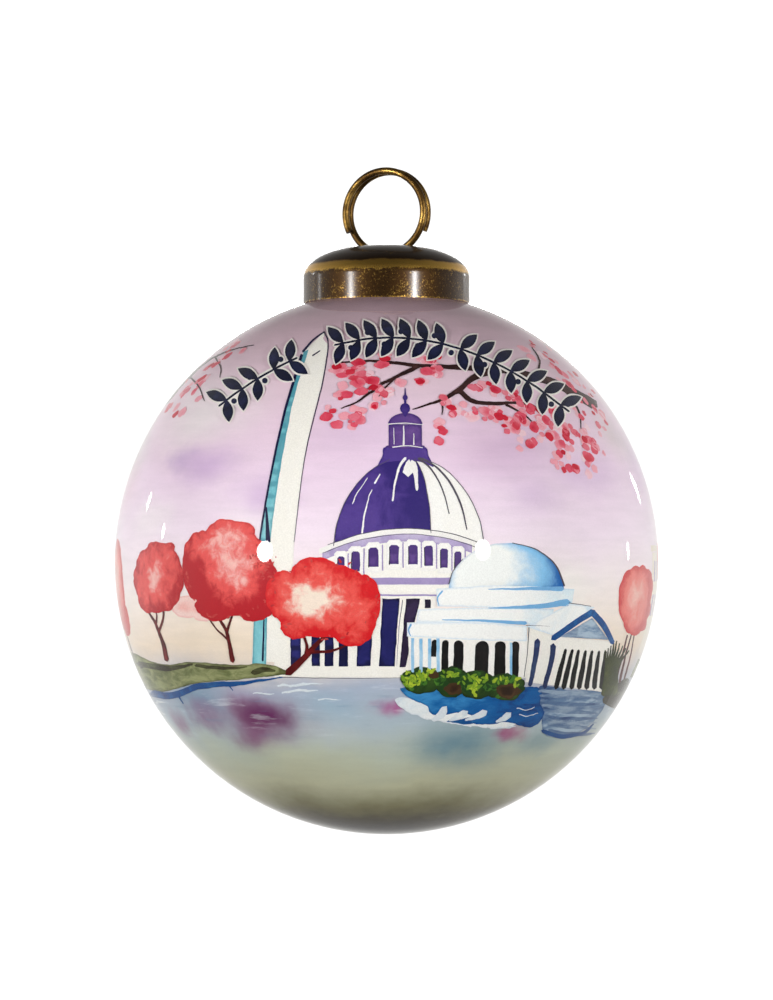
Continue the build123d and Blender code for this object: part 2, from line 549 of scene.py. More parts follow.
def roll_up(flat, middle):
    """Flat places round middle as directions from the ball's centre."""
    level, rise = plane_axes(middle)
    size = np.maximum(np.linalg.norm(flat, axis=1), 1e-12)
    angle = size * mm / film_radius
    across = (flat[:, :1] * level + flat[:, 1:] * rise) / size[:, None]
    return middle * np.cos(angle)[:, None] + across * np.sin(angle)[:, None]


def inside(points, outline):
    """Which points lie inside an outline, by counting the sides that a level line crosses."""
    found = np.zeros(len(points), bool)
    for a, b in zip(outline, np.roll(outline, -1, axis=0)):
        crosses = (a[1] > points[:, 1]) != (b[1] > points[:, 1])
        if crosses.any():
            reach = a[0] + (points[:, 1] - a[1]) * (b[0] - a[0]) / (b[1] - a[1] or 1e-12)
            found ^= crosses & (points[:, 0] < reach)
    return found


def fill(outlines):
    """Even triangles inside outlines, which may overlap: (points, triangles, edge pairs, rim distance)."""
    points, sides = [], []
    for outline in outlines:
        start = len(points)
        count = len(outline)
        points.extend(outline)
        sides.extend((start + i, start + (i + 1) % count) for i in range(count))
    tree = kdtree.KDTree(len(points))
    for i, p in enumerate(points):
        tree.insert((*p, 0), i)
    tree.balance()
    low, high = np.min(points, axis=0), np.max(points, axis=0)
    rows = np.arange(low[1], high[1], grid_size * 0.87)
    grid = [
        (u + (k % 2) * grid_size / 2, v) for k, v in enumerate(rows) for u in np.arange(
            low[0], high[0], grid_size
        )
    ]
    if grid:
        grid = np.array(grid)
        covered = np.zeros(len(grid), bool)
        for outline in outlines:
            covered |= inside(grid, outline)
        grid = [g for g in grid[covered] if tree.find((*g, 0))[2] > grid_size * 0.45]
    flat = [Vector(p) for p in (*points, *grid)]
    made, _, triangles, *_ = delaunay_2d_cdt(flat, sides, [], 1, 1e-5)
    triangles = [tuple(t) for t in triangles]
    kept = sorted({i for t in triangles for i in t})
    renumbered = {old: new for new, old in enumerate(kept)}
    triangles = [tuple(renumbered[i] for i in t) for t in triangles]
    places = np.array([tuple(made[i]) for i in kept])
    used = {}
    for triangle in triangles:
        for a, b in zip(triangle, triangle[1:] + triangle[:1]):
            used[(a, b)] = used.get((a, b), 0) + 1
    rim = [pair for pair in used if (pair[1], pair[0]) not in used]
    near = kdtree.KDTree(len(rim) * 2)
    for i, (a, b) in enumerate(rim):
        near.insert((*places[a], 0), 2 * i)
        near.insert((*(places[a] + places[b]) / 2, 0), 2 * i + 1)
    near.balance()
    distance = np.array([near.find((*p, 0))[2] for p in places])
    return places, triangles, rim, distance


def build_skin(name, parts, material):
    """One object from several closed skins: each part is (points, faces, tone, rim distance)."""
    points, faces, tones, rims = [], [], [], []
    for part_points, part_faces, tone, rim in parts:
        start = len(points)
        points.extend(part_points)
        faces.extend([start + i for i in face] for face in part_faces)
        tones.extend(tone)
        rims.extend(rim)
    mesh = bpy.data.meshes.new(name)
    mesh.from_pydata([tuple(p) for p in points], [], faces)
    mesh.polygons.foreach_set("use_smooth", [True] * len(mesh.polygons))
    mesh.update()
    mesh.set_sharp_from_angle(angle=math.radians(40))
    for label, values in (("tone", tones), ("rim", rims)):
        mesh.attributes.new(label, "FLOAT", "POINT").data.foreach_set("value", np.array(values, np.float32))
    mesh.materials.append(material)
    skin = bpy.data.objects.new(name, mesh)
    bpy.context.scene.collection.objects.link(skin)
    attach(skin, "ornament")
    return skin


def distance_on_paint(directions, place, turn):
    """How far directions are from a place in the picture, along the paint, in millimetres."""
    return np.arccos(np.clip(directions @ seen_at([place], turn)[0], -1, 1)) * film_radius / mm


def coat(outlines, level, turn, tone, light, reach, spots, edge, wobble, seed):
    """One closed skin from outlines that join: (points, faces, tone, rim distance)."""
    carried = [seen_at(by_hand(outline, wobble, seed), turn) for outline in outlines]
    middle = np.mean(np.vstack(carried), axis=0)
    middle /= np.linalg.norm(middle)
    flat, triangles, rim, distance = fill([unroll(c, middle) for c in carried])
    directions = roll_up(flat, middle)
    outer = film_radius + coat_step * level
    centre = np.array(ball_centre)
    points = np.vstack((directions * outer, directions * (outer - coat_thickness))) + centre
    count = len(flat)
    faces = list(triangles) + [tuple(i + count for i in reversed(face)) for face in triangles]
    faces += [(a, a + count, b + count, b) for a, b in rim]
    tone = np.full(count, float(tone))
    if light is not None:
        tone += distance_on_paint(directions, light, turn) / reach
    for u, v, width, amount in spots:
        tone += amount * np.exp(-((distance_on_paint(directions, (u, v), turn) / width) ** 2))
    tone += edge[0] * np.clip(1 - distance / edge[1], 0, 1)
    return points, faces, np.tile(tone, 2), np.tile(distance, 2)


painted = []


def paint(
    name,
    outlines,
    level,
    dip,
    turn=0.0,
    tone=0.5,
    light=None,
    reach=8.0,
    spots=(),
    edge=(0, 1),
    wobble=0.09,
    joined=False,
):
    """Paints outlines on the ball as one object. Level counts coats from the sky outwards to the glass,
    dip names the paint, and turn is the side it faces from the camera's. A light point thins the paint
    there and fills it over the reach, a spot of (u, v, width, amount) fills or thins it locally, and an
    edge of (amount, width) does so towards the rim. Joined outlines become one skin."""
    groups = [outlines] if joined else [[outline] for outline in outlines]
    parts = []
    for i, group in enumerate(groups):
        own_light = light[i] if isinstance(light, list) else light
        own_tone = tone[i] if isinstance(tone, list) else tone
        seed = len(painted) * 3.1 + i * 0.7
        parts.append(
            coat(group, level, view_turn + turn, own_tone, own_light, reach, spots, edge, wobble, seed)
        )
    skin = build_skin(name, parts, paints[dip])
    painted.append(skin)
    print("painted", name, len(skin.data.polygons), "faces")
    return skin


# %% [markdown]
# ## The ground coat: sky and water
# The last thing the painter does is to swill a wet ground behind all the marks: lavender and pink sky,
# a warm horizon, and water that runs from slate blue to sage. Below the sage it darkens to near-black
# olive at the very bottom, and towards the cap it turns a duller mauve. Both are part paint and part
# painted shade: the shade of the ball's underside and of the top under the cap. It is one shell, turned
# from an arc. Its colours are bands by height, shifted by noise so that they run, with soft patches of
# other colours dropped in, as wet paint is dropped into wet paint. Two pale patches, high on the left and
# high on the right, are painted reflections: a glare of the studio on the glass, put into the paint.


# %% Turn the film shell
def turn_film():
    """A closed shell that covers the inside of the ball up to the root of the neck."""
    sides, rows = 240, 112
    edge_angle = math.asin(film_edge_height / film_radius)
    heights = [-math.pi / 2 + (edge_angle + math.pi / 2) * (i + 1) / rows for i in range(rows)]
    profile = [(film_radius, a) for a in heights] + [
        (film_radius - film_thickness, a) for a in reversed(heights)
    ]
    points, faces = [], []
    for radius, angle in profile:
        for k in range(sides):
            round_angle = 2 * math.pi * k / sides
            level = radius * math.cos(angle)
            height = ball_centre.z + radius * math.sin(angle)
            points.append((level * math.cos(round_angle), level * math.sin(round_angle), height))
    for row in range(len(profile) - 1):
        for k in range(sides):
            a, b = row * sides + k, row * sides + (k + 1) % sides
            faces.append((a, b, b + sides, a + sides))
    outer_pole, inner_pole = len(points), len(points) + 1
    points += [(0, 0, ball_centre.z - film_radius), (0, 0, ball_centre.z - film_radius + film_thickness)]
    last = (len(profile) - 1) * sides
    for k in range(sides):
        faces.append((outer_pole, (k + 1) % sides, k))
        faces.append((inner_pole, last + k, last + (k + 1) % sides))
    mesh = bpy.data.meshes.new("ground_coat")
    mesh.from_pydata(points, [], faces)
    mesh.polygons.foreach_set("use_smooth", [True] * len(mesh.polygons))
    mesh.update()
    mesh.set_sharp_from_angle(angle=math.radians(40))
    film = bpy.data.objects.new("ground_coat", mesh)
    bpy.context.scene.collection.objects.link(film)
    return film


film = turn_film()
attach(film, "ornament")
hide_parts("painted_lining")
print("film", len(film.data.polygons), "faces, edge at", round(film_edge_height / mm, 2))


# %% Build the soft patch group
def build_soft_patch():
    """Drops a soft spot of another colour into a wet ground."""
    inputs = (
        ("Ground", "Color"),
        ("Drop", "Color"),
        ("Position", "Vector"),
        ("Place", "Vector"),
        ("Reach", "Float", 0.2),
        ("Strength", "Float", 0.5),
    )
    tree, given, made = new_group("soft_patch", inputs, (("Color", "Color"),))
    given = given.outputs
    settings = {"operation": "DISTANCE"}
    apart = add_node(tree, "ShaderNodeVectorMath", settings, _0=given["Position"], _1=given["Place"])
    near = ease(tree, sum_up(tree, "DIVIDE", apart.outputs["Value"], given["Reach"]), 1.0, 0.0)
    share = sum_up(tree, "MULTIPLY", near, given["Strength"])
    tree.links.new(blend_colours(tree, share, given["Ground"], given["Drop"]), made.inputs["Color"])
    return tree


soft_patch = build_soft_patch()

# %% [markdown]
# Heights in the picture are given in millimetres above the ball's middle, as a viewer sees them. A
# patch is a place, how far it reaches in millimetres, its strength and its colour. Patches are twice as
# wide as they are tall, like clouds and like light on water. The last ones go round the sides and back.

# %% Mix the ground coat
# Bands by height, from the bottom of the ball up to the cap. The darkest stops at the very bottom and the
# duller mauve stops at the top are part paint and part painted shade: the shade of the ball's underside and
# of the top under the cap is put into the colour.
band_stops = (
    (-39.6, (46, 36, 14)),
    (-38.0, (84, 74, 40)),
    (-36.0, (144, 138, 96)),
    (-32.5, (208, 208, 174)),
    (-28.5, (200, 208, 188)),
    (-23.5, (182, 198, 206)),
    (-18.8, (176, 186, 204)),
    (-16.0, (214, 208, 208)),
    (-12.5, (249, 230, 208)),
    (-7.0, (251, 238, 228)),
    (-3.0, (250, 238, 238)),
    (4.0, (247, 229, 242)),
    (13.0, (241, 216, 236)),
    (22.0, (240, 212, 228)),
    (29.0, (232, 204, 216)),
    (34.0, (214, 184, 196)),
    (38.0, (196, 166, 176)),
)
# The first colour is a pale wash in the sky. It is also the colour of the painted reflection of glare high
# on the left.
pale_wash_and_glare, mauve, violet = (248, 240, 240), (206, 172, 216), (176, 140, 198)
rose, plum, lake = (240, 194, 212), (120, 58, 100), (128, 158, 190)
ground_patches = (
    # Painted reflection: a whitish glare of the studio on the glass, high on the left.
    (-27, 22, 15, 0.80, pale_wash_and_glare),
    (-27, 14, 8, 0.70, mauve),
    (-30, 15.5, 5, 0.45, violet),
    (-37, 16, 12, 0.70, (222, 216, 218)),
    (-35, 6, 9, 0.55, pale_wash_and_glare),
    (-17, 10, 8, 0.55, mauve),
    (-20, 5, 8, 0.50, pale_wash_and_glare),
    (-4, 20, 14, 0.30, mauve),
    (17, 17, 14, 0.55, (208, 172, 206)),
    (22, 9, 8, 0.35, mauve),
    (30, 13, 9, 0.30, mauve),
    # Painted reflection: a pale glare of the studio on the glass, high on the right.
    (34, 18, 10, 0.60, (226, 216, 210)),
    (27, -4, 10, 0.75, (250, 246, 238)),
    (-24, -12, 14, 0.55, (246, 228, 204)),
    (-28, -20.5, 8, 0.85, (122, 156, 182)),
    (-20, -19.6, 6, 0.40, (196, 188, 216)),
    (-8, -21.5, 8, 0.60, (150, 184, 206)),
    (-31, -26, 8, 0.55, (190, 194, 192)),
    (-31.0, -23.2, 5.6, 0.90, (150, 84, 132)),
    (-27.0, -22.8, 6.4, 0.90, (140, 78, 126)),
    (-19.0, -23.0, 12.0, 0.85, (150, 104, 146)),
    (-18.6, -22.6, 9.0, 1.00, plum),
    (-17.2, -22.2, 6.0, 1.00, (104, 40, 92)),
    (-20.0, -25.6, 6.0, 0.80, (140, 84, 124)),
    (1.0, -21.2, 3.2, 0.95, (176, 80, 142)),
    (-8, -25, 10, 0.45, (200, 208, 212)),
    (18.5, -25.4, 4.0, 0.95, (182, 70, 124)),
    (11, -27.5, 11, 0.85, (96, 140, 160)),
    (22, -26.5, 7, 0.60, (120, 152, 164)),
    (29, -23.5, 6, 0.55, (210, 204, 192)),
    (-12, -31, 13, 0.45, (206, 206, 174)),
)
far_patches = (
    (95, -8, 16, 15, 0.55, mauve),
    (85, 12, 8, 12, 0.55, pale_wash_and_glare),
    (140, 6, 18, 14, 0.50, violet),
    (150, -10, 8, 14, 0.60, pale_wash_and_glare),
    (185, 0, 20, 16, 0.50, mauve),
    (200, -12, -22, 6, 0.60, plum),
    (185, 8, -24, 10, 0.55, lake),
    (230, 8, 14, 14, 0.55, violet),
    (240, -6, 6, 12, 0.55, pale_wash_and_glare),
    (255, 0, -23, 7, 0.55, (176, 96, 140)),
    (290, -10, 12, 12, 0.40, rose),
    (110, 0, -24, 9, 0.50, lake),
    (130, 4, -22, 5, 0.60, (186, 96, 132)),
)
flat_scale = (1.0, 1.0, 1.9)


def mix_ground_coat():
    """The sky and water paint, by height with soft patches and streaks. Painted shade darkens it at
    the bottom and towards the cap, and two of its patches are painted reflections.
    """
    material, tree, shader = new_material("paint_sky_and_water_with_painted_shade")
    place = add_node(tree, "ShaderNodeTexCoord").outputs["Object"]
    middle = tuple(ball_centre)
    from_middle = add_node(tree, "ShaderNodeVectorMath", {"operation": "SUBTRACT"}, _0=place, _1=middle)
    direction = add_node(tree, "ShaderNodeVectorMath", {"operation": "SCALE"}, _0=from_middle.outputs[0])
    direction.inputs["Scale"].default_value = 1 / film_radius
    direction = direction.outputs[0]
    run = add_node(tree, "ShaderNodeTexNoise", Vector=direction, Scale=3.2, Detail=4.0, Roughness=0.6)
    centred = add_node(tree, "ShaderNodeVectorMath", {"operation": "SUBTRACT"}, _0=run.outputs["Color"])
    centred.inputs[1].default_value = (0.5, 0.5, 0.5)
    shift = add_node(tree, "ShaderNodeVectorMath", {"operation": "MULTIPLY"}, _0=centred.outputs[0])
    shift.inputs[1].default_value = (0.32, 0.32, 0.14)
    wet = add_node(
        tree, "ShaderNodeVectorMath", {"operation": "ADD"}, _0=direction, _1=shift.outputs[0]
    ).outputs[0]
    height = add_node(tree, "ShaderNodeSeparateXYZ", Vector=wet).outputs["Z"]
    bands = add_node(tree, "ShaderNodeValToRGB", Fac=sum_up(tree, "MULTIPLY_ADD", height, 0.5, 0.5))
    bands.color_ramp.elements.remove(bands.color_ramp.elements[1])
    for i, (v, colour) in enumerate(band_stops):
        spot = 0.5 + height_seen(v) / 2
        stop = bands.color_ramp.elements[0] if i == 0 else bands.color_ramp.elements.new(spot)
        stop.position = spot
        stop.color = paint_colour(*colour)
    flattened = add_node(
        tree, "ShaderNodeVectorMath", {"operation": "MULTIPLY"}, _0=wet, _1=flat_scale
    ).outputs[0]
    body = bands.outputs[0]
    patches = [(0, *patch) for patch in ground_patches] + list(far_patches)
    for turn, u, v, reach, strength, colour in patches:
        spot = seen_at([(u, v)], view_turn + turn)[0] * np.array(flat_scale)
        body = use_group(
            tree,
            soft_patch,
            Ground=body,
            Drop=paint_colour(*colour),
            Position=flattened,
            Place=tuple(spot),
            Reach=reach * mm / film_radius,
            Strength=strength,
        ).outputs["Color"]
    drawn = add_node(tree, "ShaderNodeVectorMath", {"operation": "MULTIPLY"}, _0=direction)
    drawn.inputs[1].default_value = (1.0, 1.0, 7.0)
    streaks = add_node(
        tree, "ShaderNodeTexNoise", Vector=drawn.outputs[0], Scale=5.0, Detail=6.0, Roughness=0.6
    )
    below_bank = ease(tree, height, height_seen(-14), height_seen(-18))
    in_water = sum_up(tree, "MULTIPLY", below_bank, ease(tree, height, height_seen(-28), height_seen(-21)))
    light_streak = ease(tree, streaks.outputs["Fac"], 0.56, 0.72)
    pale = sum_up(tree, "MULTIPLY", sum_up(tree, "MULTIPLY", light_streak, in_water), 0.40)
    body = blend_colours(tree, pale, body, paint_colour(236, 240, 244))
    dark_streak = ease(tree, streaks.outputs["Fac"], 0.44, 0.28)
    dark = sum_up(tree, "MULTIPLY", sum_up(tree, "MULTIPLY", dark_streak, in_water), 0.35)
    body = blend_colours(tree, dark, body, paint_colour(112, 146, 180))
    brushed = ease(tree, streaks.outputs["Fac"], 0.25, 0.75, 0.955, 1.03)
    body = blend_colours(tree, 1.0, body, brushed, "MULTIPLY")
    grain = add_node(tree, "ShaderNodeTexNoise", Vector=direction, Scale=170.0, Detail=3.0).outputs["Fac"]
    body = blend_colours(tree, 1.0, body, ease(tree, grain, 0.2, 0.8, 0.97, 1.02), "MULTIPLY")
    skin = add_node(tree, "ShaderNodeBump", Height=streaks.outputs["Fac"], Strength=0.2, Distance=0.05 * mm)
    rough = ease(tree, grain, 0.2, 0.8, 0.6, 0.45)
    wire(tree, shader, Base_Color=body, Roughness=rough, Normal=skin.outputs[0])
    shader.inputs["Specular IOR Level"].default_value = 0.12
    return material


film.data.materials.append(mix_ground_coat())
print("ground coat patches", len(ground_patches) + len(far_patches))

# %% [markdown]
# ## Blown glass
# Clear glass shows by what it bends and mirrors, so its material is nearly nothing: a faint waviness
# from the blowing, and a trace of handling on the surface that softens a highlight here and there.
# Lamps have to shine through to the paint. Shadow and diffuse rays therefore pass as if the glass
# weren't there, which also keeps the picture free of speckles.


# %% Make the glass
def make_glass():
    material, tree, shader = new_material("blown_glass")
    shader.inputs["Base Color"].default_value = (0.985, 0.99, 0.99, 1)
    shader.inputs["Transmission Weight"].default_value = 1.0
    shader.inputs["IOR"].default_value = glass_ior
    place = add_node(tree, "ShaderNodeTexCoord").outputs["Object"]
    wave = add_node(tree, "ShaderNodeTexNoise", Vector=place, Scale=45.0, Detail=1.0).outputs["Fac"]
    blown = add_node(tree, "ShaderNodeBump", Height=wave, Strength=0.10, Distance=0.12 * mm)
    touch = add_node(tree, "ShaderNodeTexNoise", Vector=place, Scale=120.0, Detail=6.0, Roughness=0.7)
    handled = ease(tree, touch.outputs["Fac"], 0.50, 0.75, 0.0, 0.035)
    wire(tree, shader, Normal=blown.outputs[0], Roughness=handled)
    path = add_node(tree, "ShaderNodeLightPath").outputs
    clear = add_node(tree, "ShaderNodeBsdfTransparent").outputs[0]
    lamps = add_node(tree, "ShaderNodeMixShader", _0=path["Is Shadow Ray"], _1=shader.outputs[0], _2=clear)
    soft = add_node(tree, "ShaderNodeMixShader", _0=path["Is Diffuse Ray"], _1=lamps.outputs[0], _2=clear)
    tree.links.new(soft.outputs[0], tree.nodes["Material Output"].inputs["Surface"])
    return material


def dress(node_name, material):
    """Gives a node of the model its finish."""
    data = nodes[node_name].data
    data.materials.clear()
    data.materials.append(material)
    data.polygons.foreach_set("material_index", [0] * len(data.polygons))


dress("glass_ball", make_glass())

# %% [markdown]
# ## Antique brass
# The cap and ring are brass, plated dark and rubbed back, so that the hollows stay brown and the edges
# shine through gold. One group does it for both: a patina that comes and goes, a fine pitted grain
# where the plating took unevenly, and a mask for where hands and polishing wheel have rubbed it.


# %% Build the antique brass group
def build_antique_brass():
    inputs = (
        ("Brass", "Color"),
        ("Patina", "Color"),
        ("Pit", "Color"),
        ("Rubbed", "Float", 0.0),
        ("Grain Size", "Float", 2600.0),
        ("Grain", "Float", 0.5),
    )
    outputs = (("Color", "Color"), ("Roughness", "Float"), ("Height", "Float"))
    tree, given, made = new_group("antique_brass", inputs, outputs)
    give = given.outputs
    place = add_node(tree, "ShaderNodeTexCoord").outputs["Object"]
    cloud = add_node(
        tree, "ShaderNodeTexNoise", Vector=place, Scale=420.0, Detail=5.0, Roughness=0.65
    ).outputs["Fac"]
    fine = add_node(
        tree, "ShaderNodeTexNoise", Vector=place, Scale=give["Grain Size"], Detail=3.0, Roughness=0.7
    ).outputs["Fac"]
    pits = add_node(tree, "ShaderNodeTexVoronoi", Vector=place, Scale=give["Grain Size"]).outputs[
        "Distance"
    ]
    rough_grain = sum_up(tree, "MULTIPLY", sum_up(tree, "SUBTRACT", fine, 0.5), give["Grain"])
    shine = sum_up(tree, "ADD", sum_up(tree, "MULTIPLY_ADD", cloud, 0.9, -0.28), give["Rubbed"])
    shine = sum_up(tree, "ADD", shine, sum_up(tree, "MULTIPLY", rough_grain, 2.6))
    share = ease(tree, shine, 0.0, 0.9)
    body = blend_colours(tree, share, give["Patina"], give["Brass"])
    pitted = sum_up(tree, "MULTIPLY", ease(tree, pits, 0.32, 0.12), give["Grain"])
    body = blend_colours(tree, pitted, body, give["Pit"])
    tree.links.new(body, made.inputs["Color"])
    rough = ease(tree, share, 0.0, 1.0, 0.50, 0.36)
    tree.links.new(
        sum_up(tree, "ADD", rough, sum_up(tree, "MULTIPLY", pitted, 0.2)), made.inputs["Roughness"]
    )
    relief = sum_up(tree, "ADD", fine, sum_up(tree, "MULTIPLY", ease(tree, pits, 0.0, 0.4), 0.8))
    tree.links.new(sum_up(tree, "MULTIPLY", relief, give["Grain"]), made.inputs["Height"])
    return tree


antique_brass = build_antique_brass()

# %% [markdown]
# On the cap, the mask follows height. The roof keeps its dark plating, the turn of the shoulder is
# lightened to a bright gold band, the skirt is pitted and half worn, and its bottom edge shows a thin
# lighter line, part wear and part painted highlight.

# %% Finish the cap
shoulder_height = cap_high.z - 3.45 * mm
shoulder_reach = 0.8 * mm


def make_cap_brass():
    material, tree, shader = new_material("cap_antique_brass")
    place = add_node(tree, "ShaderNodeTexCoord").outputs["Object"]
    height = add_node(tree, "ShaderNodeSeparateXYZ", Vector=place).outputs["Z"]
    from_shoulder = sum_up(tree, "ABSOLUTE", sum_up(tree, "SUBTRACT", height, shoulder_height))
    wander = add_node(tree, "ShaderNodeTexNoise", Vector=place, Scale=300.0, Detail=3.0).outputs["Fac"]
    line_reach = sum_up(tree, "MULTIPLY_ADD", wander, 1.2 * shoulder_reach, 0.5 * shoulder_reach)
    # Lightens a band round the turn of the shoulder to bright gold. The band wanders a little in width.
    shoulder_gold_band = ease(tree, sum_up(tree, "DIVIDE", from_shoulder, line_reach), 1.2, 0.0)
    on_skirt = ease(tree, height, shoulder_height + 0.2 * mm, shoulder_height - 0.9 * mm)
    # A thin lighter line along the skirt's bottom edge: part wear and part painted highlight.
    edge = ease(tree, height, cap_low.z + 0.32 * mm, cap_low.z + 0.12 * mm)
    rubbed = sum_up(tree, "MULTIPLY_ADD", shoulder_gold_band, 1.6, -0.46)
    rubbed = sum_up(tree, "MULTIPLY_ADD", on_skirt, 0.20, rubbed)
    rubbed = sum_up(tree, "MULTIPLY_ADD", edge, 0.3, rubbed)
    grain = sum_up(tree, "MULTIPLY_ADD", on_skirt, 0.75, 0.12)
    brass = use_group(
        tree,
        antique_brass,
        Brass=paint_colour(228, 180, 84),
        Patina=paint_colour(58, 38, 14),
        Pit=paint_colour(24, 16, 8),
        Rubbed=rubbed,
        Grain_Size=3600.0,
        Grain=grain,
    )
    relief = add_node(
        tree, "ShaderNodeBump", Height=brass.outputs["Height"], Strength=0.5, Distance=0.06 * mm
    )
    wire(
        tree,
        shader,
        Base_Color=brass.outputs["Color"],
        Roughness=brass.outputs["Roughness"],
        Normal=relief.outputs[0],
    )
    shader.inputs["Metallic"].default_value = 1.0
    shader.inputs["Coat Weight"].default_value = 0.5
    shader.inputs["Coat Roughness"].default_value = 0.18
    return material


dress("cap_shell", make_cap_brass())

# %% [markdown]
# The ring is drawn wire, so it is smoother than the cap. It rubs against the hook at its top and the
# bridge at its foot, and the drawing left faint lines, which the fine grain stands for.


# %% Finish the ring
def make_ring_brass():
    material, tree, shader = new_material("ring_antique_brass")
    place = add_node(tree, "ShaderNodeTexCoord").outputs["Object"]
    patches = add_node(tree, "ShaderNodeTexNoise", Vector=place, Scale=500.0, Detail=2.0).outputs["Fac"]
    rubbed = ease(tree, patches, 0.35, 0.65, -0.30, 0.30)
    brass = use_group(
        tree,
        antique_brass,
        Brass=paint_colour(184, 146, 76),
        Patina=paint_colour(88, 64, 32),
        Pit=paint_colour(34, 24, 12),
        Rubbed=rubbed,
        Grain_Size=3400.0,
        Grain=0.22,
    )
    relief = add_node(
        tree, "ShaderNodeBump", Height=brass.outputs["Height"], Strength=0.25, Distance=0.03 * mm
    )
    wire(tree, shader, Base_Color=brass.outputs["Color"], Normal=relief.outputs[0])
    wire(tree, shader, Roughness=brass.outputs["Roughness"])
    shader.inputs["Metallic"].default_value = 1.0
    return material


dress("hanger_ring", make_ring_brass())

# %% [markdown]
# ## Epoxy
# The bead under the cap has yellowed a little and holds small bubbles from the mixing. It shows only
# through the slots and as a warm line under the skirt's edge.


# %% Make the epoxy
def make_epoxy():
    material, tree, shader = new_material("cured_epoxy")
    place = add_node(tree, "ShaderNodeTexCoord").outputs["Object"]
    murk = add_node(tree, "ShaderNodeTexNoise", Vector=place, Scale=350.0, Detail=4.0).outputs["Fac"]
    bubbles = add_node(tree, "ShaderNodeTexVoronoi", Vector=place, Scale=1100.0).outputs["Distance"]
    tint = blend_colours(
        tree, ease(tree, murk, 0.3, 0.7), paint_colour(206, 190, 152), paint_colour(172, 148, 104)
    )
    tint = blend_colours(tree, ease(tree, bubbles, 0.22, 0.1), tint, paint_colour(238, 230, 206))
    skin = add_node(tree, "ShaderNodeBump", Height=bubbles, Strength=0.3, Distance=0.05 * mm)
    wire(
        tree,
        shader,
        Base_Color=tint,
        Normal=skin.outputs[0],
        Roughness=ease(tree, murk, 0.3, 0.7, 0.12, 0.3),
    )
    shader.inputs["Coat Weight"].default_value = 0.5
    return material


dress("adhesive_ring", make_epoxy())

# %% [markdown]
# ## The painter's box of colours
# Each paint has a thin, a full and a deep mix. Whites are never pure, the violets lean to blue where
# they pool, and the corals dry to a dark red edge.

# %% Mix the paints
mix_paint("stone_white", (254, 252, 247), (250, 246, 236), (216, 208, 206), bloom=0.3, pool=0.2)
mix_paint("warm_white", (252, 247, 236), (248, 236, 218), (222, 204, 186), bloom=0.4, pool=0.3)
mix_paint("violet", (124, 92, 164), (84, 62, 142), (52, 38, 112), bloom=0.55, pool=0.6)
mix_paint("plum_violet", (132, 96, 162), (92, 64, 134), (58, 40, 104), bloom=0.5, pool=0.6)
mix_paint("lavender", (206, 194, 220), (176, 160, 202), (150, 132, 184), bloom=0.5, pool=0.45)
mix_paint("navy", (46, 46, 118), (28, 28, 88), (12, 12, 40), bloom=0.5, pool=0.7)
mix_paint("night_plum", (74, 58, 96), (46, 32, 64), (24, 16, 36), bloom=0.5, pool=0.6)
mix_paint("ink_grey", (128, 122, 130), (92, 86, 98), (52, 46, 60), bloom=0.6, pool=0.2)
mix_paint("black", (44, 36, 34), (14, 12, 12), (6, 5, 6), bloom=0.4, pool=0.5)
mix_paint(
    "sea_cyan", (160, 218, 222), (104, 186, 198), (46, 122, 146), bloom=0.6, pool=0.55, stretch=(1, 1, 0.25)
)
mix_paint("ice_blue", (252, 252, 248), (214, 236, 246), (118, 184, 228), bloom=0.35, pool=0.25)
mix_paint("dome_blue", (250, 252, 248), (136, 198, 238), (14, 96, 176), bloom=0.3, pool=0.25)
mix_paint(
    "strong_blue", (60, 142, 200), (16, 94, 162), (14, 50, 112), bloom=0.7, pool=0.5, stretch=(1, 1, 2.5)
)
mix_paint(
    "slate_blue", (176, 196, 212), (104, 134, 168), (54, 80, 126), bloom=0.9, pool=0.3, stretch=(1, 1, 5)
)
mix_paint("slot_blue", (92, 116, 158), (54, 70, 116), (28, 36, 74), bloom=0.5, pool=0.6)
mix_paint("water_light", (246, 248, 246), (224, 234, 238), (190, 206, 222), bloom=0.7, pool=0.3)
mix_paint("coral", (250, 196, 188), (234, 84, 80), (184, 18, 32), bloom=0.6, size=620.0, pool=0.35)
mix_paint("bright_coral", (249, 230, 212), (236, 86, 78), (214, 28, 34), bloom=0.55, size=620.0, pool=0.3)
mix_paint("salmon", (250, 196, 184), (240, 130, 120), (214, 62, 62), bloom=0.55, size=330.0, pool=0.3)
mix_paint("leaf_red", (236, 96, 88), (206, 36, 42), (140, 14, 28), bloom=0.5, pool=0.4)
mix_paint("leaf_pink", (250, 214, 206), (244, 168, 158), (226, 110, 106), bloom=0.5, pool=0.3)
mix_paint("trunk_red", (168, 44, 40), (112, 16, 18), (50, 6, 8), bloom=0.7, pool=0.6)
mix_paint(
    "bank_green", (160, 164, 112), (104, 112, 66), (50, 44, 24), bloom=0.9, pool=0.5, stretch=(1, 1, 2.5)
)
mix_paint("reed_green", (104, 112, 40), (56, 64, 20), (28, 30, 12), bloom=0.8, pool=0.4)
mix_paint("bush_deep", (60, 92, 34), (32, 56, 20), (18, 26, 12), bloom=0.7, pool=0.5)
mix_paint("bush_mid", (126, 172, 62), (70, 122, 40), (30, 62, 24), bloom=0.8, pool=0.0)
mix_paint("bush_light", (226, 230, 96), (180, 200, 52), (110, 150, 40), bloom=0.7, pool=0.1)
mix_paint("bush_brown", (86, 60, 34), (52, 34, 20), (28, 18, 12), bloom=0.6, pool=0.4)
mix_paint("branch_brown", (112, 74, 68), (62, 36, 34), (30, 16, 18), bloom=0.9, pool=0.5)
mix_paint("petal_pale", (248, 218, 226), (244, 170, 182), (236, 120, 140), bloom=0.4, pool=0.0)
mix_paint("petal_pink", (242, 170, 182), (228, 84, 106), (206, 38, 64), bloom=0.4, pool=0.0)
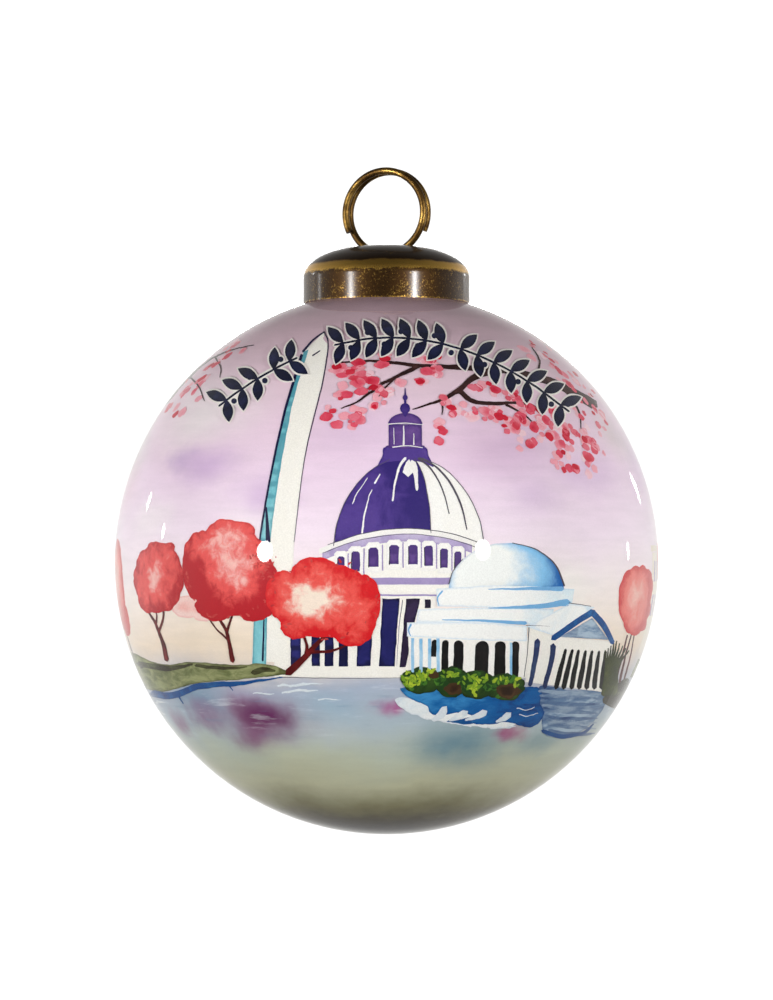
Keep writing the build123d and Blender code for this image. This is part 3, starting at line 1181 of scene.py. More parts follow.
mix_paint("petal_red", (232, 120, 138), (212, 38, 60), (170, 12, 36), bloom=0.4, pool=0.0)
mix_paint("garland_navy", (36, 42, 84), (16, 20, 52), (8, 10, 28), bloom=0.5, pool=0.5)
mix_paint("garland_cream", (252, 248, 240), (240, 232, 226), (214, 202, 204), bloom=0.4, pool=0.2)
mix_paint("far_lilac", (226, 214, 228), (200, 184, 208), (172, 154, 190), bloom=0.7, pool=0.3)
print("paints", len(paints))

# %% [markdown]
# ## Obelisk
# A tall white stone needle stands behind the trees on the left. It is laid in as a white face, a cyan
# shaded side and a thin navy edge. Its sides lean and bow a little, because the painter held it upright
# on a round wall.

# %% Paint the obelisk
left_side = through(((-19.8, -15.3), (-18.7, 3.0), (-15.3, 21.5), (-12.2, 31.0)))
right_side = through(((-8.6, 31.9), (-9.5, 26.5), (-11.8, 16.5), (-13.6, 2.0), (-14.3, -15.3)))
shade_inner = through(((-17.7, -15.3), (-17.1, 3.0), (-14.2, 21.5), (-11.5, 31.3)))
paint("obelisk_face", [np.vstack((left_side, ((-9.2, 33.9),), right_side))], 2, "stone_white", wobble=0.06)
paint("obelisk_shade", [np.vstack((left_side, shade_inner[::-1]))], 3, "sea_cyan", tone=0.45, wobble=0.06)
paint(
    "obelisk_edge",
    [
        stroke(((-18.9, -3.0), (-18.4, 5.0), (-15.5, 20.0), (-12.5, 30.5)), 0.22, 0.42),
        stroke(((-17.7, 8.0), (-17.4, 3.0)), 0.25, 0.7),
        stroke(((-18.2, -14.5), (-18.0, -8.5)), 0.3, 0.2),
        stroke(((-12.3, 31.0), (-10.8, 32.7), (-9.2, 33.9)), 0.34, 0.20),
        stroke(((-9.2, 33.9), (-8.6, 32.0), (-9.4, 26.5), (-12.0, 15.5), (-13.6, 3.0)), 0.16, 0.08),
        stroke(((-10.9, 30.4), (-9.8, 31.1)), 0.20, 0.16),
    ],
    4,
    "navy",
    tone=0.6,
    wobble=0.04,
)

# %% [markdown]
# ## Domed hall
# Behind everything stands a classical hall with a ribbed dome, drawn from the usual parts of such a
# building: a stepped base, a row of columns, a drum with arched windows, a cornice, a dome in light and
# shade, and a lantern with a plain ball finial. Parts that repeat are placed by a loop.

# %% Paint the hall's body and drum
hall_middle = 3.0
hall_drop = 0.018


def sag(u, v):
    """The height of a level ring of the hall, which bows down away from its middle."""
    return v - hall_drop * (u - hall_middle) ** 2


def ring_band(left, right, low, high):
    """A band round the hall between two bowed edges."""
    top = [(u, sag(u, high)) for u in np.linspace(left, right, 9)]
    bottom = [(u, sag(u, low)) for u in np.linspace(right, left, 9)]
    return np.vstack((through(top), through(bottom)))


paint("hall_base", [box(-16.5, -17.0, 7.2, -4.6)], 1, "stone_white", wobble=0.07)
openings = [
    box(-14.1, -15.3, -12.6, -5.4),
    box(-11.0, -15.3, -9.8, -5.4),
    box(-9.1, -15.3, -7.8, -5.4),
    box(-7.0, -15.3, -5.6, -5.4),
    straight(((-4.4, -15.3), (-2.3, -15.3), (-2.0, -5.4), (-4.1, -5.4))),
    straight(((-1.1, -15.3), (1.2, -15.3), (1.9, -5.4), (-0.6, -5.4))),
]
paint("hall_openings", openings, 2, "navy", tone=[0.3, 0.5, 0.4, 0.55, 0.45, 0.5], wobble=0.12)
far_openings = [straight(((1.9, -15.4), (2.8, -15.4), (4.9, -5.4), (2.9, -5.4))), box(5.6, -6.8, 6.5, -5.5)]
paint("hall_far_openings", far_openings, 2, "night_plum", tone=[0.45, 0.9], wobble=0.10)
paint(
    "hall_column_lines",
    [stroke(((2.35, -5.6), (1.85, -10.0), (1.5, -15.2)), 0.12)],
    2,
    "ink_grey",
    wobble=0.06,
)
paint(
    "hall_step_line",
    [stroke(((-15.8, -16.9), (-5.0, -17.1), (7.0, -16.9)), 0.12)],
    2,
    "ink_grey",
    wobble=0.05,
)
drum = np.vstack(
    (through([(u, sag(u, 4.9)) for u in (-9.4, -3, 3, 9, 13.4)]), through(((11.0, -4.7), (-9.0, -4.7))))
)
paint("hall_drum", [drum], 2, "stone_white", tone=0.4, wobble=0.05)
paint(
    "hall_bands",
    [ring_band(-9.4, 12.6, 3.0, 4.7), box(-8.8, -3.3, 11.4, -2.3), box(-8.6, -5.0, 10.4, -4.75)],
    3,
    "lavender",
    tone=[0.35, 0.55, 0.8],
    wobble=0.06,
)
window_rows = (
    (-6.7, 1.0), (-4.5, 1.2), (-1.9, 1.45), (1.15, 1.4), (3.9, 1.3), (6.2, 1.2), (8.5, 1.1), (10.5, 0.95)
)


def window(u, low, high, wide):
    """A window with a shallow rounded head."""
    half = wide / 2
    return straight(
        (
            (u - half, low),
            (u + half, low),
            (u + half * 1.02, high - 0.45 * half),
            (u + half * 0.6, high),
            (u - half * 0.6, high),
            (u - half * 1.02, high - 0.45 * half),
        )
    )


frames = [window(u, sag(u, -1.1), sag(u, 3.35), wide + 0.95) for u, wide in window_rows]
panes = [window(u, sag(u, -0.3), sag(u, 2.55), wide) for u, wide in window_rows]
shades = [
    box(u + wide / 2 + 0.48, sag(u, -0.8), u + wide / 2 + 0.68, sag(u, 3.0)) for u, wide in window_rows
]
pane_edges = [
    stroke(((u - wide / 2, sag(u, -0.3)), (u - wide / 2, sag(u, 2.3))), 0.16, 0.12)
    for u, wide in window_rows
]
paint("drum_window_frames", frames, 4, "stone_white", tone=0.15, wobble=0.07)
paint(
    "drum_window_panes",
    panes,
    5,
    "plum_violet",
    tone=[0.6, 0.5, 0.65, 0.45, 0.6, 0.5, 0.55, 0.4],
    wobble=0.12,
)
paint("drum_pane_edges", pane_edges, 6, "ink_grey", tone=1.0, wobble=0.08)
paint("drum_column_shades", shades, 4, "lavender", tone=0.7, wobble=0.06)

# %% [markdown]
# The dome is two halves: wet violet in the shade and bare cream in the light. Ribs follow its curve, so
# each is an arc from a base point up to the foot of the lantern, white on violet and grey on cream.

# %% Paint the dome and lantern
dome_middle, dome_foot, dome_wide, dome_tall = 3.3, 4.2, 11.1, 11.4


def rib(share, start=0.0, stop=1.0, count=5):
    """Points up the dome along a rib. Share is -1 at its left edge, 0 in the middle and 1 at its right."""
    rise = np.linspace(start, stop, count) * math.pi / 2 * 0.93
    u = dome_middle + dome_wide * share * np.cos(rise)
    return np.stack((u, sag(u, dome_foot) + dome_tall * np.sin(rise)), axis=1)


split = 0.29
left_rib, right_rib, split_rib = through(rib(-1.0)), through(rib(1.0)), through(rib(split))
left_foot = through([(u, sag(u, dome_foot)) for u in np.linspace(dome_middle + dome_wide * split, -7.8, 7)])
right_foot = through(
    [(u, sag(u, dome_foot)) for u in np.linspace(14.4, dome_middle + dome_wide * split, 5)]
)
paint(
    "dome_shaded_side",
    [np.vstack((left_rib, split_rib[::-1], left_foot))],
    3,
    "violet",
    light=(-5, 7),
    reach=14,
)
paint("dome_lit_side", [np.vstack((split_rib, right_rib[::-1], right_foot))], 3, "stone_white", tone=0.2)
paint(
    "dome_white_ribs",
    [
        stroke(rib(-0.62, 0.05, 0.45), 0.30, 0.12),
        stroke(rib(-0.62, 0.52, 0.62), 0.30, 0.12),
        stroke(rib(-0.24, 0.30, 0.92), 0.26, 0.42),
        stroke(rib(-0.02, 0.62, 0.80), 1.35, 0.8),
        stroke(rib(0.13, 0.42, 0.80), 0.35, 1.0),
        stroke(rib(-0.86, 0.35, 0.6), 0.16, 0.1),
    ],
    4,
    "stone_white",
    tone=0.1,
    wobble=0.16,
)
paint(
    "dome_ink_ribs",
    [
        stroke(rib(0.56, 0.92, 0.22), 0.30, 0.12),
        stroke(rib(0.78, 0.95, 0.12), 0.20, 0.16, swell=0.12),
        stroke(rib(1.0, 0.02, 0.95), 0.12, 0.10),
        stroke(rib(-1.0, 0.02, 0.9), 0.12, 0.08),
        stroke(rib(split, 0.02, 0.9), 0.10, 0.12),
        stroke([(u, sag(u, 4.95)) for u in (-8.6, -3, 3, 9, 14.3)], 0.10, 0.14),
        stroke([(u, sag(u, 4.1)) for u in (-9.4, -4, 3, 9, 14)], 0.08, 0.10),
    ],
    6,
    "ink_grey",
    tone=0.6,
    wobble=0.05,
)
paint("hall_cornice", [ring_band(-9.9, 14.5, 4.15, 4.9)], 5, "stone_white", tone=0.15, wobble=0.06)
lantern_foot = through(((-1.3, 14.2), (-0.6, 15.6), (0.0, 17.0), (5.4, 17.0), (6.2, 15.6), (7.0, 14.0)))
paint("lantern_foot", [lantern_foot], 4, "violet", tone=0.65, wobble=0.07)
lantern = [box(0.3, 16.8, 5.2, 20.2), oval(2.75, 20.2, 2.55, 1.75, 0, 180), oval(2.75, 17.0, 2.9, 0.35)]
paint("lantern", lantern, 5, "plum_violet", tone=0.5, wobble=0.05, joined=True)
finial = [
    oval(2.75, 22.6, 0.75, 0.8),
    stroke(((2.75, 21.6), (2.75, 25.6)), 0.55, 0.12),
    oval(2.75, 24.2, 0.38, 0.42),
]
paint("lantern_finial", finial, 6, "violet", tone=0.8, wobble=0.03, joined=True)
paint(
    "lantern_lights",
    [
        stroke(((2.55, 17.3), (2.5, 20.0)), 0.28, 0.16),
        stroke(((4.0, 17.3), (4.0, 18.9)), 0.18, 0.10),
        stroke(((1.1, 17.3), (1.1, 19.7)), 0.12, 0.08),
        stroke(((0.2, 20.25), (2.7, 20.45), (5.4, 20.2)), 0.14, 0.10),
        stroke(((0.9, 16.9), (3.2, 17.1), (5.3, 16.8)), 0.16, 0.10),
    ],
    6,
    "stone_white",
    tone=0.2,
    wobble=0.05,
)

# %% [markdown]
# ## Rotunda and portico
# In front of the hall, on the right, stands a low round temple with a shallow dome and a columned
# portico. Its whites are shaded with clear blue, from nothing in the light to strong on the far side,
# which is what the light point of a skin is for.

# %% Paint the rotunda
paint(
    "rotunda_dome",
    [oval(17.6, -4.2, 8.5, 7.0, 0, 180)],
    7,
    "dome_blue",
    light=(13.6, 0.4),
    reach=9.5,
    tone=-0.42,
    edge=(0.25, 1.2),
)
paint(
    "rotunda_steps",
    [
        np.vstack(
            (
                through(((7.3, -3.9), (17.0, -3.4), (27.6, -4.0))),
                through(((27.2, -6.3), (17.0, -6.7), (7.4, -6.5))),
            )
        ),
        np.vstack(
            (
                through(((4.6, -6.9), (14.0, -6.7), (24.6, -6.9))),
                through(((24.0, -9.3), (14.0, -9.0), (4.4, -8.9))),
            )
        ),
        np.vstack(
            (
                through(((3.0, -8.9), (12.0, -8.8), (20.6, -9.4))),
                through(((20.6, -11.6), (12.0, -11.4), (3.0, -10.9))),
            )
        ),
    ],
    8,
    "ice_blue",
    light=[(13, -5), (10, -8), (11, -10)],
    reach=22,
    tone=-0.30,
    wobble=0.07,
)
paint(
    "rotunda_wall",
    [straight(((3.4, -16.4), (20.8, -17.0), (20.8, -11.0), (3.2, -10.6)))],
    7,
    "stone_white",
    tone=0.3,
)
paint(
    "rotunda_step_shades",
    [
        stroke(((26.6, -5.9), (22.0, -6.5), (15.0, -6.75)), 1.0, 0.12),
        stroke(((20.4, -9.0), (14.5, -8.6), (8.2, -8.5)), 0.55, 0.12),
        stroke(((25.8, -3.9), (22.0, -3.9), (15.0, -4.0)), 0.7, 0.12),
        stroke(((8.2, -4.3), (7.5, -5.2), (7.7, -6.4)), 0.3, 0.12),
        stroke(((3.6, -9.2), (3.2, -10.0), (3.5, -10.8)), 0.3, 0.12),
    ],
    9,
    "dome_blue",
    tone=0.62,
    wobble=0.08,
)
arches = []
for k, (middle, half) in enumerate(
    ((6.9, 0.42), (8.5, 0.5), (10.5, 0.72), (13.9, 1.0), (16.6, 0.8), (18.8, 0.55))
):
    arches.append(arched(middle, -13.9 if k == 0 else -16.3 - 0.1 * k, -11.4 - 0.05 * k, 2 * half, 0.15))
paint("rotunda_arches", arches, 8, "black", tone=[0.4, 0.5, 0.6, 0.5, 0.55, 0.45], wobble=0.09)
columns = [box(3.6 + 1.25 * k, -16.2, 4.05 + 1.25 * k, -11.2) for k in range(4)]
columns += [box(18.1, -16.6, 18.45, -11.8)]
paint("rotunda_column_shades", columns, 9, "ice_blue", tone=0.9, wobble=0.08)
paint(
    "rotunda_ink",
    [
        stroke(
            [(17.6 - 8.55 * math.cos(a), -4.2 + 7.05 * math.sin(a)) for a in np.radians((8, 24, 42))],
            0.14,
            0.08,
        ),
        stroke(
            [(17.6 + 8.55 * math.cos(a), -4.2 + 7.05 * math.sin(a)) for a in np.radians((84, 60, 34, 6))],
            0.12,
            0.26,
        ),
        stroke(((20.5, -9.3), (24.0, -9.4)), 0.08),
        stroke(((20.9, -9.6), (20.7, -13.0), (20.2, -16.8)), 0.12, 0.08),
        stroke(((26.8, -6.0), (30.0, -6.5)), 0.12, 0.08),
    ],
    10,
    "ink_grey",
    tone=0.8,
    wobble=0.06,
)

# %% [markdown]
# The portico turns away to the right, so its gable is drawn in perspective and its columns lean. The
# gaps between columns are the dark marks; the columns are the white left between them.

# %% Paint the portico
paint(
    "portico_front",
    [straight(((20.8, -9.3), (24.6, -10.9), (33.2, -11.6), (32.6, -19.2), (20.4, -17.6)))],
    8,
    "stone_white",
)
roof = straight(((20.5, -9.5), (26.9, -6.1), (30.6, -6.6), (24.9, -10.9)))
paint("portico_roof", [roof], 9, "ice_blue", tone=0.1, wobble=0.06)
paint(
    "portico_gable",
    [straight(((25.4, -11.0), (30.2, -8.2), (32.6, -11.4)))],
    10,
    "slate_blue",
    tone=0.25,
    wobble=0.05,
)
gable_edge = [
    stroke(((24.5, -11.2), (27.3, -9.2), (30.3, -7.3)), 0.85, 0.9),
    stroke(((30.2, -7.3), (31.9, -9.3), (33.2, -11.8)), 0.9, 0.7),
]
paint("portico_gable_edge", gable_edge, 11, "strong_blue", tone=0.6, wobble=0.07, joined=True)
slots = [
    stroke(((22.2, -11.6), (21.9, -14.0), (21.1, -18.0)), 0.85, 0.6),
    stroke(((24.5, -12.3), (24.2, -14.5), (23.2, -18.3)), 0.85, 0.6),
]
paint("portico_slots", slots, 9, "slot_blue", tone=[0.5, 0.7], wobble=0.08)
gaps = []
for k in range(7):
    top_u, foot_u = 26.3 + 0.98 * k, 24.9 + 1.12 * k
    gaps.append(
        stroke(
            ((top_u, -12.9 - 0.05 * k), ((top_u + foot_u) / 2, -15.6), (foot_u, -18.4)),
            0.40,
            0.72,
            swell=0.12,
        )
    )
paint("portico_column_gaps", gaps, 9, "black", tone=0.5, wobble=0.07)

# %% [markdown]
# ## Ground and water marks
# A soft olive bank runs along the left under the trees. The water has a few firm marks: a long blue
# ripple by the bank, the deep blue shadow under the bushes with light left in it, and slate ripples
# below the portico.

# %% Paint the banks and ripples
bank_top = ((-37.6, -13.2), (-33.0, -15.0), (-28.5, -14.7), (-22.0, -15.1), (-17.5, -15.0), (-14.6, -15.9))
bank_foot = ((-14.6, -16.5), (-20.0, -17.1), (-27.0, -17.7), (-33.0, -19.0), (-36.8, -18.4))
paint(
    "left_bank",
    [np.vstack((through(bank_top), through(bank_foot)))],
    4,
    "bank_green",
    tone=0.35,
    wobble=0.16,
)
bank_shadows = [
    stroke(((-36.5, -14.9), (-32.4, -15.6), (-28.6, -15.1)), 0.75, 0.3, swell=0.3),
    stroke(((-28.0, -15.2), (-24.0, -15.6), (-20.5, -15.4)), 0.45, 0.15, swell=0.2),
    stroke(((-19.6, -16.2), (-17.7, -15.8), (-16.4, -16.0)), 0.8, 0.3, swell=0.3),
]
paint("bank_shadows", bank_shadows, 5, "bank_green", tone=0.95, wobble=0.14)
ripple = [
    stroke(
        ((-34.4, -19.3), (-31.5, -19.6), (-27.4, -18.2), (-21.5, -17.8), (-15.2, -16.9)),
        1.0,
        0.12,
        swell=0.25,
    )
]
ripple += [
    stroke(((-30.6, -19.7), (-29.9, -20.9)), 0.30, 0.12),
    stroke(((-23.1, -18.2), (-22.6, -18.9)), 0.24, 0.10),
]
paint("bank_ripple", ripple, 6, "strong_blue", tone=0.6, wobble=0.12)
light_marks = [
    stroke(((-16.0, -18.2), (-12.5, -18.0), (-9.4, -17.8)), 0.28, 0.10, swell=0.2),
    stroke(((-15.4, -19.3), (-12.6, -18.8), (-10.2, -18.8)), 0.22, 0.10, swell=0.2),
    stroke(((-19.8, -19.4), (-18.0, -19.2), (-16.4, -19.3)), 0.16, 0.08, swell=0.1),
    stroke(((-10.0, -20.3), (-8.2, -20.1), (-6.8, -20.2)), 0.14, 0.08, swell=0.1),
]
paint("water_lights", light_marks, 3, "water_light", tone=0.2, wobble=0.3)
foam = through(
    (
        (1.3, -20.4), (3.4, -19.8), (8.0, -20.6), (18.4, -21.6), (18.8, -24.1), (15.3, -24.4),
        (8.3, -23.5), (4.2, -22.5),
    ),
    closed=True,
)
paint("bush_foam", [foam], 5, "water_light", tone=0.15, wobble=0.35)
water_shadow = through(
    (
        (1.9, -18.5), (5.5, -18.4), (9.0, -18.8), (14.0, -19.6), (20.6, -18.2), (22.7, -18.9), (
            22.5, -20.5
        ),
        (23.2, -22.2), (22.3, -23.8), (19.9, -24.1), (17.4, -23.6), (15.2, -23.9), (8.8, -23.5), (
            12.6, -22.7
        ),
        (10.4, -22.2), (6.8, -22.4), (5.6, -21.0), (4.2, -20.4),
    ),
    closed=True,
)
paint(
    "bush_water_shadow",
    [water_shadow],
    6,
    "strong_blue",
    light=(20.5, -23.0),
    reach=-24,
    tone=0.95,
    wobble=0.28,
)
foam_fingers = [
    stroke(((8.6, -21.6), (8.0, -22.4), (6.9, -23.1)), 1.0, 0.5, swell=0.3),
    stroke(((11.6, -22.0), (10.6, -22.7), (9.2, -23.2)), 0.9, 0.3, swell=0.3),
    stroke(((14.4, -22.1), (13.0, -22.7), (11.6, -23.2)), 0.9, 0.3, swell=0.2),
    stroke(((17.9, -22.4), (17.2, -23.0), (16.2, -23.5)), 0.8, 0.3, swell=0.2),
    stroke(((15.4, -24.3), (17.4, -24.35), (19.0, -24.1)), 0.22, 0.14),
    stroke(((19.2, -21.6), (20.4, -21.8), (21.8, -21.3)), 0.16, 0.08),
    stroke(((19.6, -22.4), (20.8, -22.6), (22.2, -22.1)), 0.16, 0.08),
]
paint("foam_fingers", foam_fingers, 7, "water_light", tone=0.3, wobble=0.22)
slate_marks = []
for k in range(9):
    level = -18.9 - 0.72 * k
    tilt = 0.25 * math.sin(2.1 * k)
    points = ((22.4 + 0.2 * k, level), (26.0, level - 0.35 + tilt), (31.6 - 0.12 * k, level - 0.5))
    slate_marks.append(stroke(points, 0.34, 0.16, swell=0.42))
paint(
    "portico_ripples",
    slate_marks,
    6,
    "slate_blue",
    tone=[0.2 + 0.45 * (k % 3) / 2 for k in range(9)],
    wobble=0.14,
)
pool = through(
    (
        (22.4, -18.2), (27.0, -18.8), (32.2, -19.0), (31.6, -22.0), (28.0, -25.2), (23.6, -25.4),
        (22.6, -22.0),
    ),
    closed=True,
)
paint("portico_pool", [pool], 4, "slate_blue", light=(27.0, -24.5), reach=9, tone=-0.25, wobble=0.2)
pool_edge = [stroke(((23.0, -24.8), (25.5, -25.6), (28.6, -25.2), (30.4, -23.8)), 0.5, 0.2, swell=0.25)]
paint("pool_edge", pool_edge, 7, "strong_blue", tone=0.6, wobble=0.12)

# %% [markdown]
# ## Blossom trees
# A round of wet coral dropped on the glass dries pale in the middle and red at its edge. Each crown is
# bumpy ovals joined into one skin, with spots that thin the paint to a pale heart or fill it to red. A few
# small red dabs lie near its edge. Trunks fork into limbs, and each tree's limbs are one joined skin.


# %% Paint the trees
def leaf_dabs(seed, u, v, wide, tall, count, size, low=0.55, high=1.06, sector=(0, 360)):
    """Small leaf dabs scattered in the outer part of a crown."""
    draw = random.Random(seed)
    dabs = []
    for _ in range(count):
        angle = math.radians(draw.uniform(*sector))
        far = draw.uniform(low, high)
        lean = draw.uniform(0, math.pi)
        reach = size * draw.uniform(0.6, 1.2)
        start = np.array((u + wide * far * math.cos(angle), v + tall * far * math.sin(angle)))
        step = np.array((math.cos(lean), math.sin(lean))) * reach
        dabs.append(stroke((start, start + step / 2 + (0, 0.06), start + step), reach * 0.75, reach * 0.35))
    return dabs


crown_reach = 9.0


def tree_crown(name, places, dip, level, turn=0.0, tone=0.66, light=None, spots=(), edge=(0.5, 2.4)):
    """A crown from ovals that join: each place is (u, v, half width, half height)."""
    outlines = [
        crown(*place, 4 + 2.6 * place[2], 0.16 / place[2], i * 1.7) for i, place in enumerate(places)
    ]
    paint(name, outlines, level, dip, turn, tone, light, crown_reach, spots, edge, wobble=0.16, joined=True)


left_places = [
    (-33.4, -2.4, 3.7, 5.0), (-33.9, 1.6, 1.6, 1.5), (-32.2, 1.8, 1.2, 1.1), (-35.2, -0.4, 1.6, 2.4),
    (-34.6, -5.6, 2.0, 1.9),
]
tall_places = [
    (-22.8, -1.6, 6.4, 6.4),
    (-23.4, 3.8, 3.4, 2.5),
    (-27.4, -0.6, 2.6, 5.4),
    (-19.2, -3.2, 3.2, 4.8),
    (-21.2, 4.4, 1.8, 1.6),
    (-25.0, -6.4, 3.0, 2.2),
    (-19.4, -7.0, 2.6, 1.8),
]
near_places = [
    (-9.2, -5.7, 7.8, 5.4),
    (-14.8, -4.8, 3.0, 3.6),
    (-3.9, -6.2, 3.1, 4.6),
    (-10.4, -1.8, 3.8, 2.5),
    (-13.4, -9.4, 2.2, 1.9),
    (-5.0, -9.8, 3.0, 2.5),
]
left_spots = (
    (-34.1, -2.4, 2.4, -0.45), (-31.0, -4.0, 2.2, 0.30), (-33.6, -7.0, 2.4, 0.35), (-36.0, -1.0, 1.6, 0.2)
)
tall_spots = (
    (-23.4, 3.2, 3.8, -0.50),
    (-21.4, -2.6, 2.8, -0.36),
    (-25.0, -1.6, 2.2, -0.15),
    (-28.7, -2.2, 2.4, 1.15),
    (-27.0, -6.2, 2.6, 0.70),
    (-23.0, -8.2, 3.4, 0.50),
    (-17.6, -3.4, 2.4, 0.50),
    (-19.2, -7.4, 2.6, 0.45),
)
near_spots = (
    (-11.7, -6.2, 2.2, -0.90),
    (-8.4, -5.4, 2.8, -0.42),
    (-13.6, -3.8, 2.2, -0.30),
    (-5.0, -7.4, 2.8, -0.15),
    (-9.4, -11.0, 3.0, 0.25),
    (-2.6, -3.6, 2.4, 0.20),
)
tree_crown("tree_left_crown", left_places, "coral", 8, spots=left_spots, edge=(0.32, 1.6))
tree_crown("tree_tall_crown", tall_places, "coral", 7, spots=tall_spots, edge=(0.32, 1.8))
tree_crown("tree_near_crown", near_places, "bright_coral", 9, tone=0.82, spots=near_spots, edge=(0.30, 1.6))
underside = [(-29.2, -6.6, 2.4, 1.6), (-26.8, -7.6, 1.8, 1.1)]
tree_crown("tree_left_underside", underside, "leaf_pink", 6, tone=0.4, edge=(-0.6, 1.2))
red_dabs = leaf_dabs(4, -18.2, -0.8, 2.0, 2.4, 30, 0.42, low=0.2)
red_dabs += leaf_dabs(5, -9.0, -5.6, 8.4, 6.0, 26, 0.42, low=0.86, high=0.98)
red_dabs += leaf_dabs(6, -23.0, -1.8, 6.6, 7.0, 20, 0.42, low=0.9, high=1.0, sector=(180, 360))
red_tones = [0.1 + 0.3 * (i % 5) / 4 for i in range(len(red_dabs))]
paint("leaf_dabs_red", red_dabs, 10, "leaf_red", tone=red_tones, wobble=0.05)
spatter = leaf_dabs(10, -18.0, 0.9, 1.8, 2.2, 22, 0.28, low=0.2, high=1.0)
paint("leaf_spatter", spatter, 9, "leaf_red", tone=0.4, wobble=0.03)


def trunk(name, limbs, level, turn=0.0):
    """A trunk and its limbs, as one joined skin: each limb is (points, width, end width)."""
    paint(
        name,
        [stroke(*limb) for limb in limbs],
        level,
        "trunk_red",
        turn,
        tone=0.5,
        wobble=0.10,
        joined=True,
    )


trunk(
    "tree_left_trunk",
    [
        (((-32.3, -14.3), (-32.9, -11.8), (-34.0, -9.0), (-35.2, -7.0)), 0.75, 0.25),
        (((-33.4, -10.2), (-32.9, -8.4), (-32.8, -6.2)), 0.42, 0.2),
        (((-33.9, -9.2), (-33.8, -7.8), (-34.0, -6.8)), 0.3, 0.15),
    ],
    7,
)
trunk(
    "tree_tall_trunk",
    [
        (((-22.6, -14.5), (-23.2, -11.6), (-23.8, -9.6), (-25.6, -7.2)), 0.7, 0.3),
        (((-23.5, -10.4), (-23.0, -8.6), (-22.4, -7.0)), 0.45, 0.22),
        (((-23.4, -11.4), (-25.2, -9.6), (-26.4, -7.8)), 0.32, 0.16),
    ],
    6,
)
trunk(
    "tree_near_trunk",
    [
        (((-14.4, -16.2), (-12.6, -14.6), (-10.8, -12.6), (-8.6, -10.4)), 1.15, 0.5),
        (((-11.9, -13.9), (-11.7, -12.2), (-12.3, -10.6)), 0.6, 0.35),
        (((-11.2, -13.2), (-8.2, -13.1), (-4.6, -11.6)), 0.5, 0.26),
    ],
    8,
)

# %% [markdown]
# ## Bushes
# The clump in front of the rotunda is dabbed, not drawn: a dark green ground with a bumpy edge, then
# brown hollows, mid greens and yellow lights, each on its own coat so that the lights sit nearest the
# glass.


# %% Paint the bushes
def clump_dabs(seed, places, count, size, squash=0.8):
    """Round dabs scattered over a clump: each place is (u, v, half width, half height)."""
    draw = random.Random(seed)
    dabs = []
    for _ in range(count):
        u, v, wide, tall = draw.choice(places)
        angle, far = draw.uniform(0, 2 * math.pi), math.sqrt(draw.random())
        half = size * draw.uniform(0.5, 1.0)
        spot = (u + wide * far * math.cos(angle), v + tall * far * math.sin(angle))
        dabs.append(crown(*spot, half, half * squash, 5, 0.16, draw.uniform(0, 9)))
    return dabs


clump = [(5.2, -17.4, 3.0, 1.9), (9.6, -17.6, 2.6, 2.2), (13.2, -18.0, 2.8, 2.1), (17.4, -18.3, 3.0, 2.0)]
bush = [crown(*place, 9, 0.07, i) for i, place in enumerate(clump)]
paint("bush_ground", bush, 9, "bush_deep", tone=0.5, wobble=0.2, joined=True)
inner = [(u, v, wide * 0.85, tall * 0.8) for u, v, wide, tall in clump]
hollows = [
    crown(9.9, -18.6, 1.4, 0.9, 5, 0.15),
    crown(17.8, -18.9, 1.7, 1.0, 5, 0.15, 2),
    crown(6.9, -16.5, 0.9, 0.6, 5, 0.15, 3),
]
paint("bush_hollows", hollows, 12, "bush_brown", tone=0.9, edge=(-0.9, 0.5), wobble=0.2)
mid = clump_dabs(21, inner, 64, 0.8)
paint(
    "bush_mid_dabs",
    mid,
    11,
    "bush_mid",
    tone=[0.1 + 0.7 * (i % 5) / 4 for i in range(len(mid))],
    edge=(0.7, 0.5),
    wobble=0.12,
)
upper = [(u, v + tall * 0.35, wide * 0.8, tall * 0.5) for u, v, wide, tall in clump]
upper += [(3.9, -17.3, 1.5, 1.3)] * 3 + [(12.6, -18.6, 0.9, 1.2)]
lights = []
for i, (u, v, wide, tall) in enumerate(upper):
    lights += leaf_dabs(70 + i, u, v, wide, tall, 13, 0.62, low=0.0, high=1.0)
paint(
    "bush_light_dabs",
    lights,
    13,
    "bush_light",
    tone=[0.1 + 0.9 * (i % 6) / 5 for i in range(len(lights))],
    edge=(0.5, 0.25),
    wobble=0.06,
)

# %% [markdown]
# ## The right edge
# Beyond the portico are a tuft of reeds, a lone coral tree on thin stems, a shadowed strip of ground and
# the pale corner of another building, all half turned away on the side of the ball.

# %% Paint the right edge
far_turn = 62.0
paint(
    "far_corner",
    [box(9.5, -14.0, 17.0, 1.5), box(8.7, 1.6, 17.6, 2.6)],
    1,
    "warm_white",
    far_turn,
    tone=0.5,
)
far_windows = [
    box(11.0 + 2.2 * k, -3.0 - 5.2 * row, 12.1 + 2.2 * k, 0.2 - 5.2 * row)
    for k in range(3)
    for row in range(2)
]
paint("far_corner_windows", far_windows, 2, "far_lilac", far_turn, tone=0.8, wobble=0.1)
reeds = []
for k in range(9):
    foot = 31.9 + 0.22 * k
    reeds.append(
        stroke(
            ((foot, -19.4), (foot + 0.35, -15.5), (foot + 0.2 + 0.22 * k, -11.6 - 0.35 * abs(k - 4))),
            0.7,
            0.16,
        )
    )
paint("reeds", reeds, 11, "reed_green", tone=0.55, wobble=0.08, joined=True)
strip = through(
    ((32.2, -19.6), (33.8, -18.0), (35.6, -17.2), (35.4, -20.4), (33.6, -21.4), (31.8, -20.8)), closed=True
)
paint("right_ground", [strip], 6, "bank_green", tone=1.15, wobble=0.2)
tree_crown(
    "tree_right_crown",
    [(36.5, -5.8, 2.4, 4.9), (37.8, -3.4, 1.4, 2.9)],
    "salmon",
    8,
    tone=0.1,
    light=(36.4, -5.4),
)
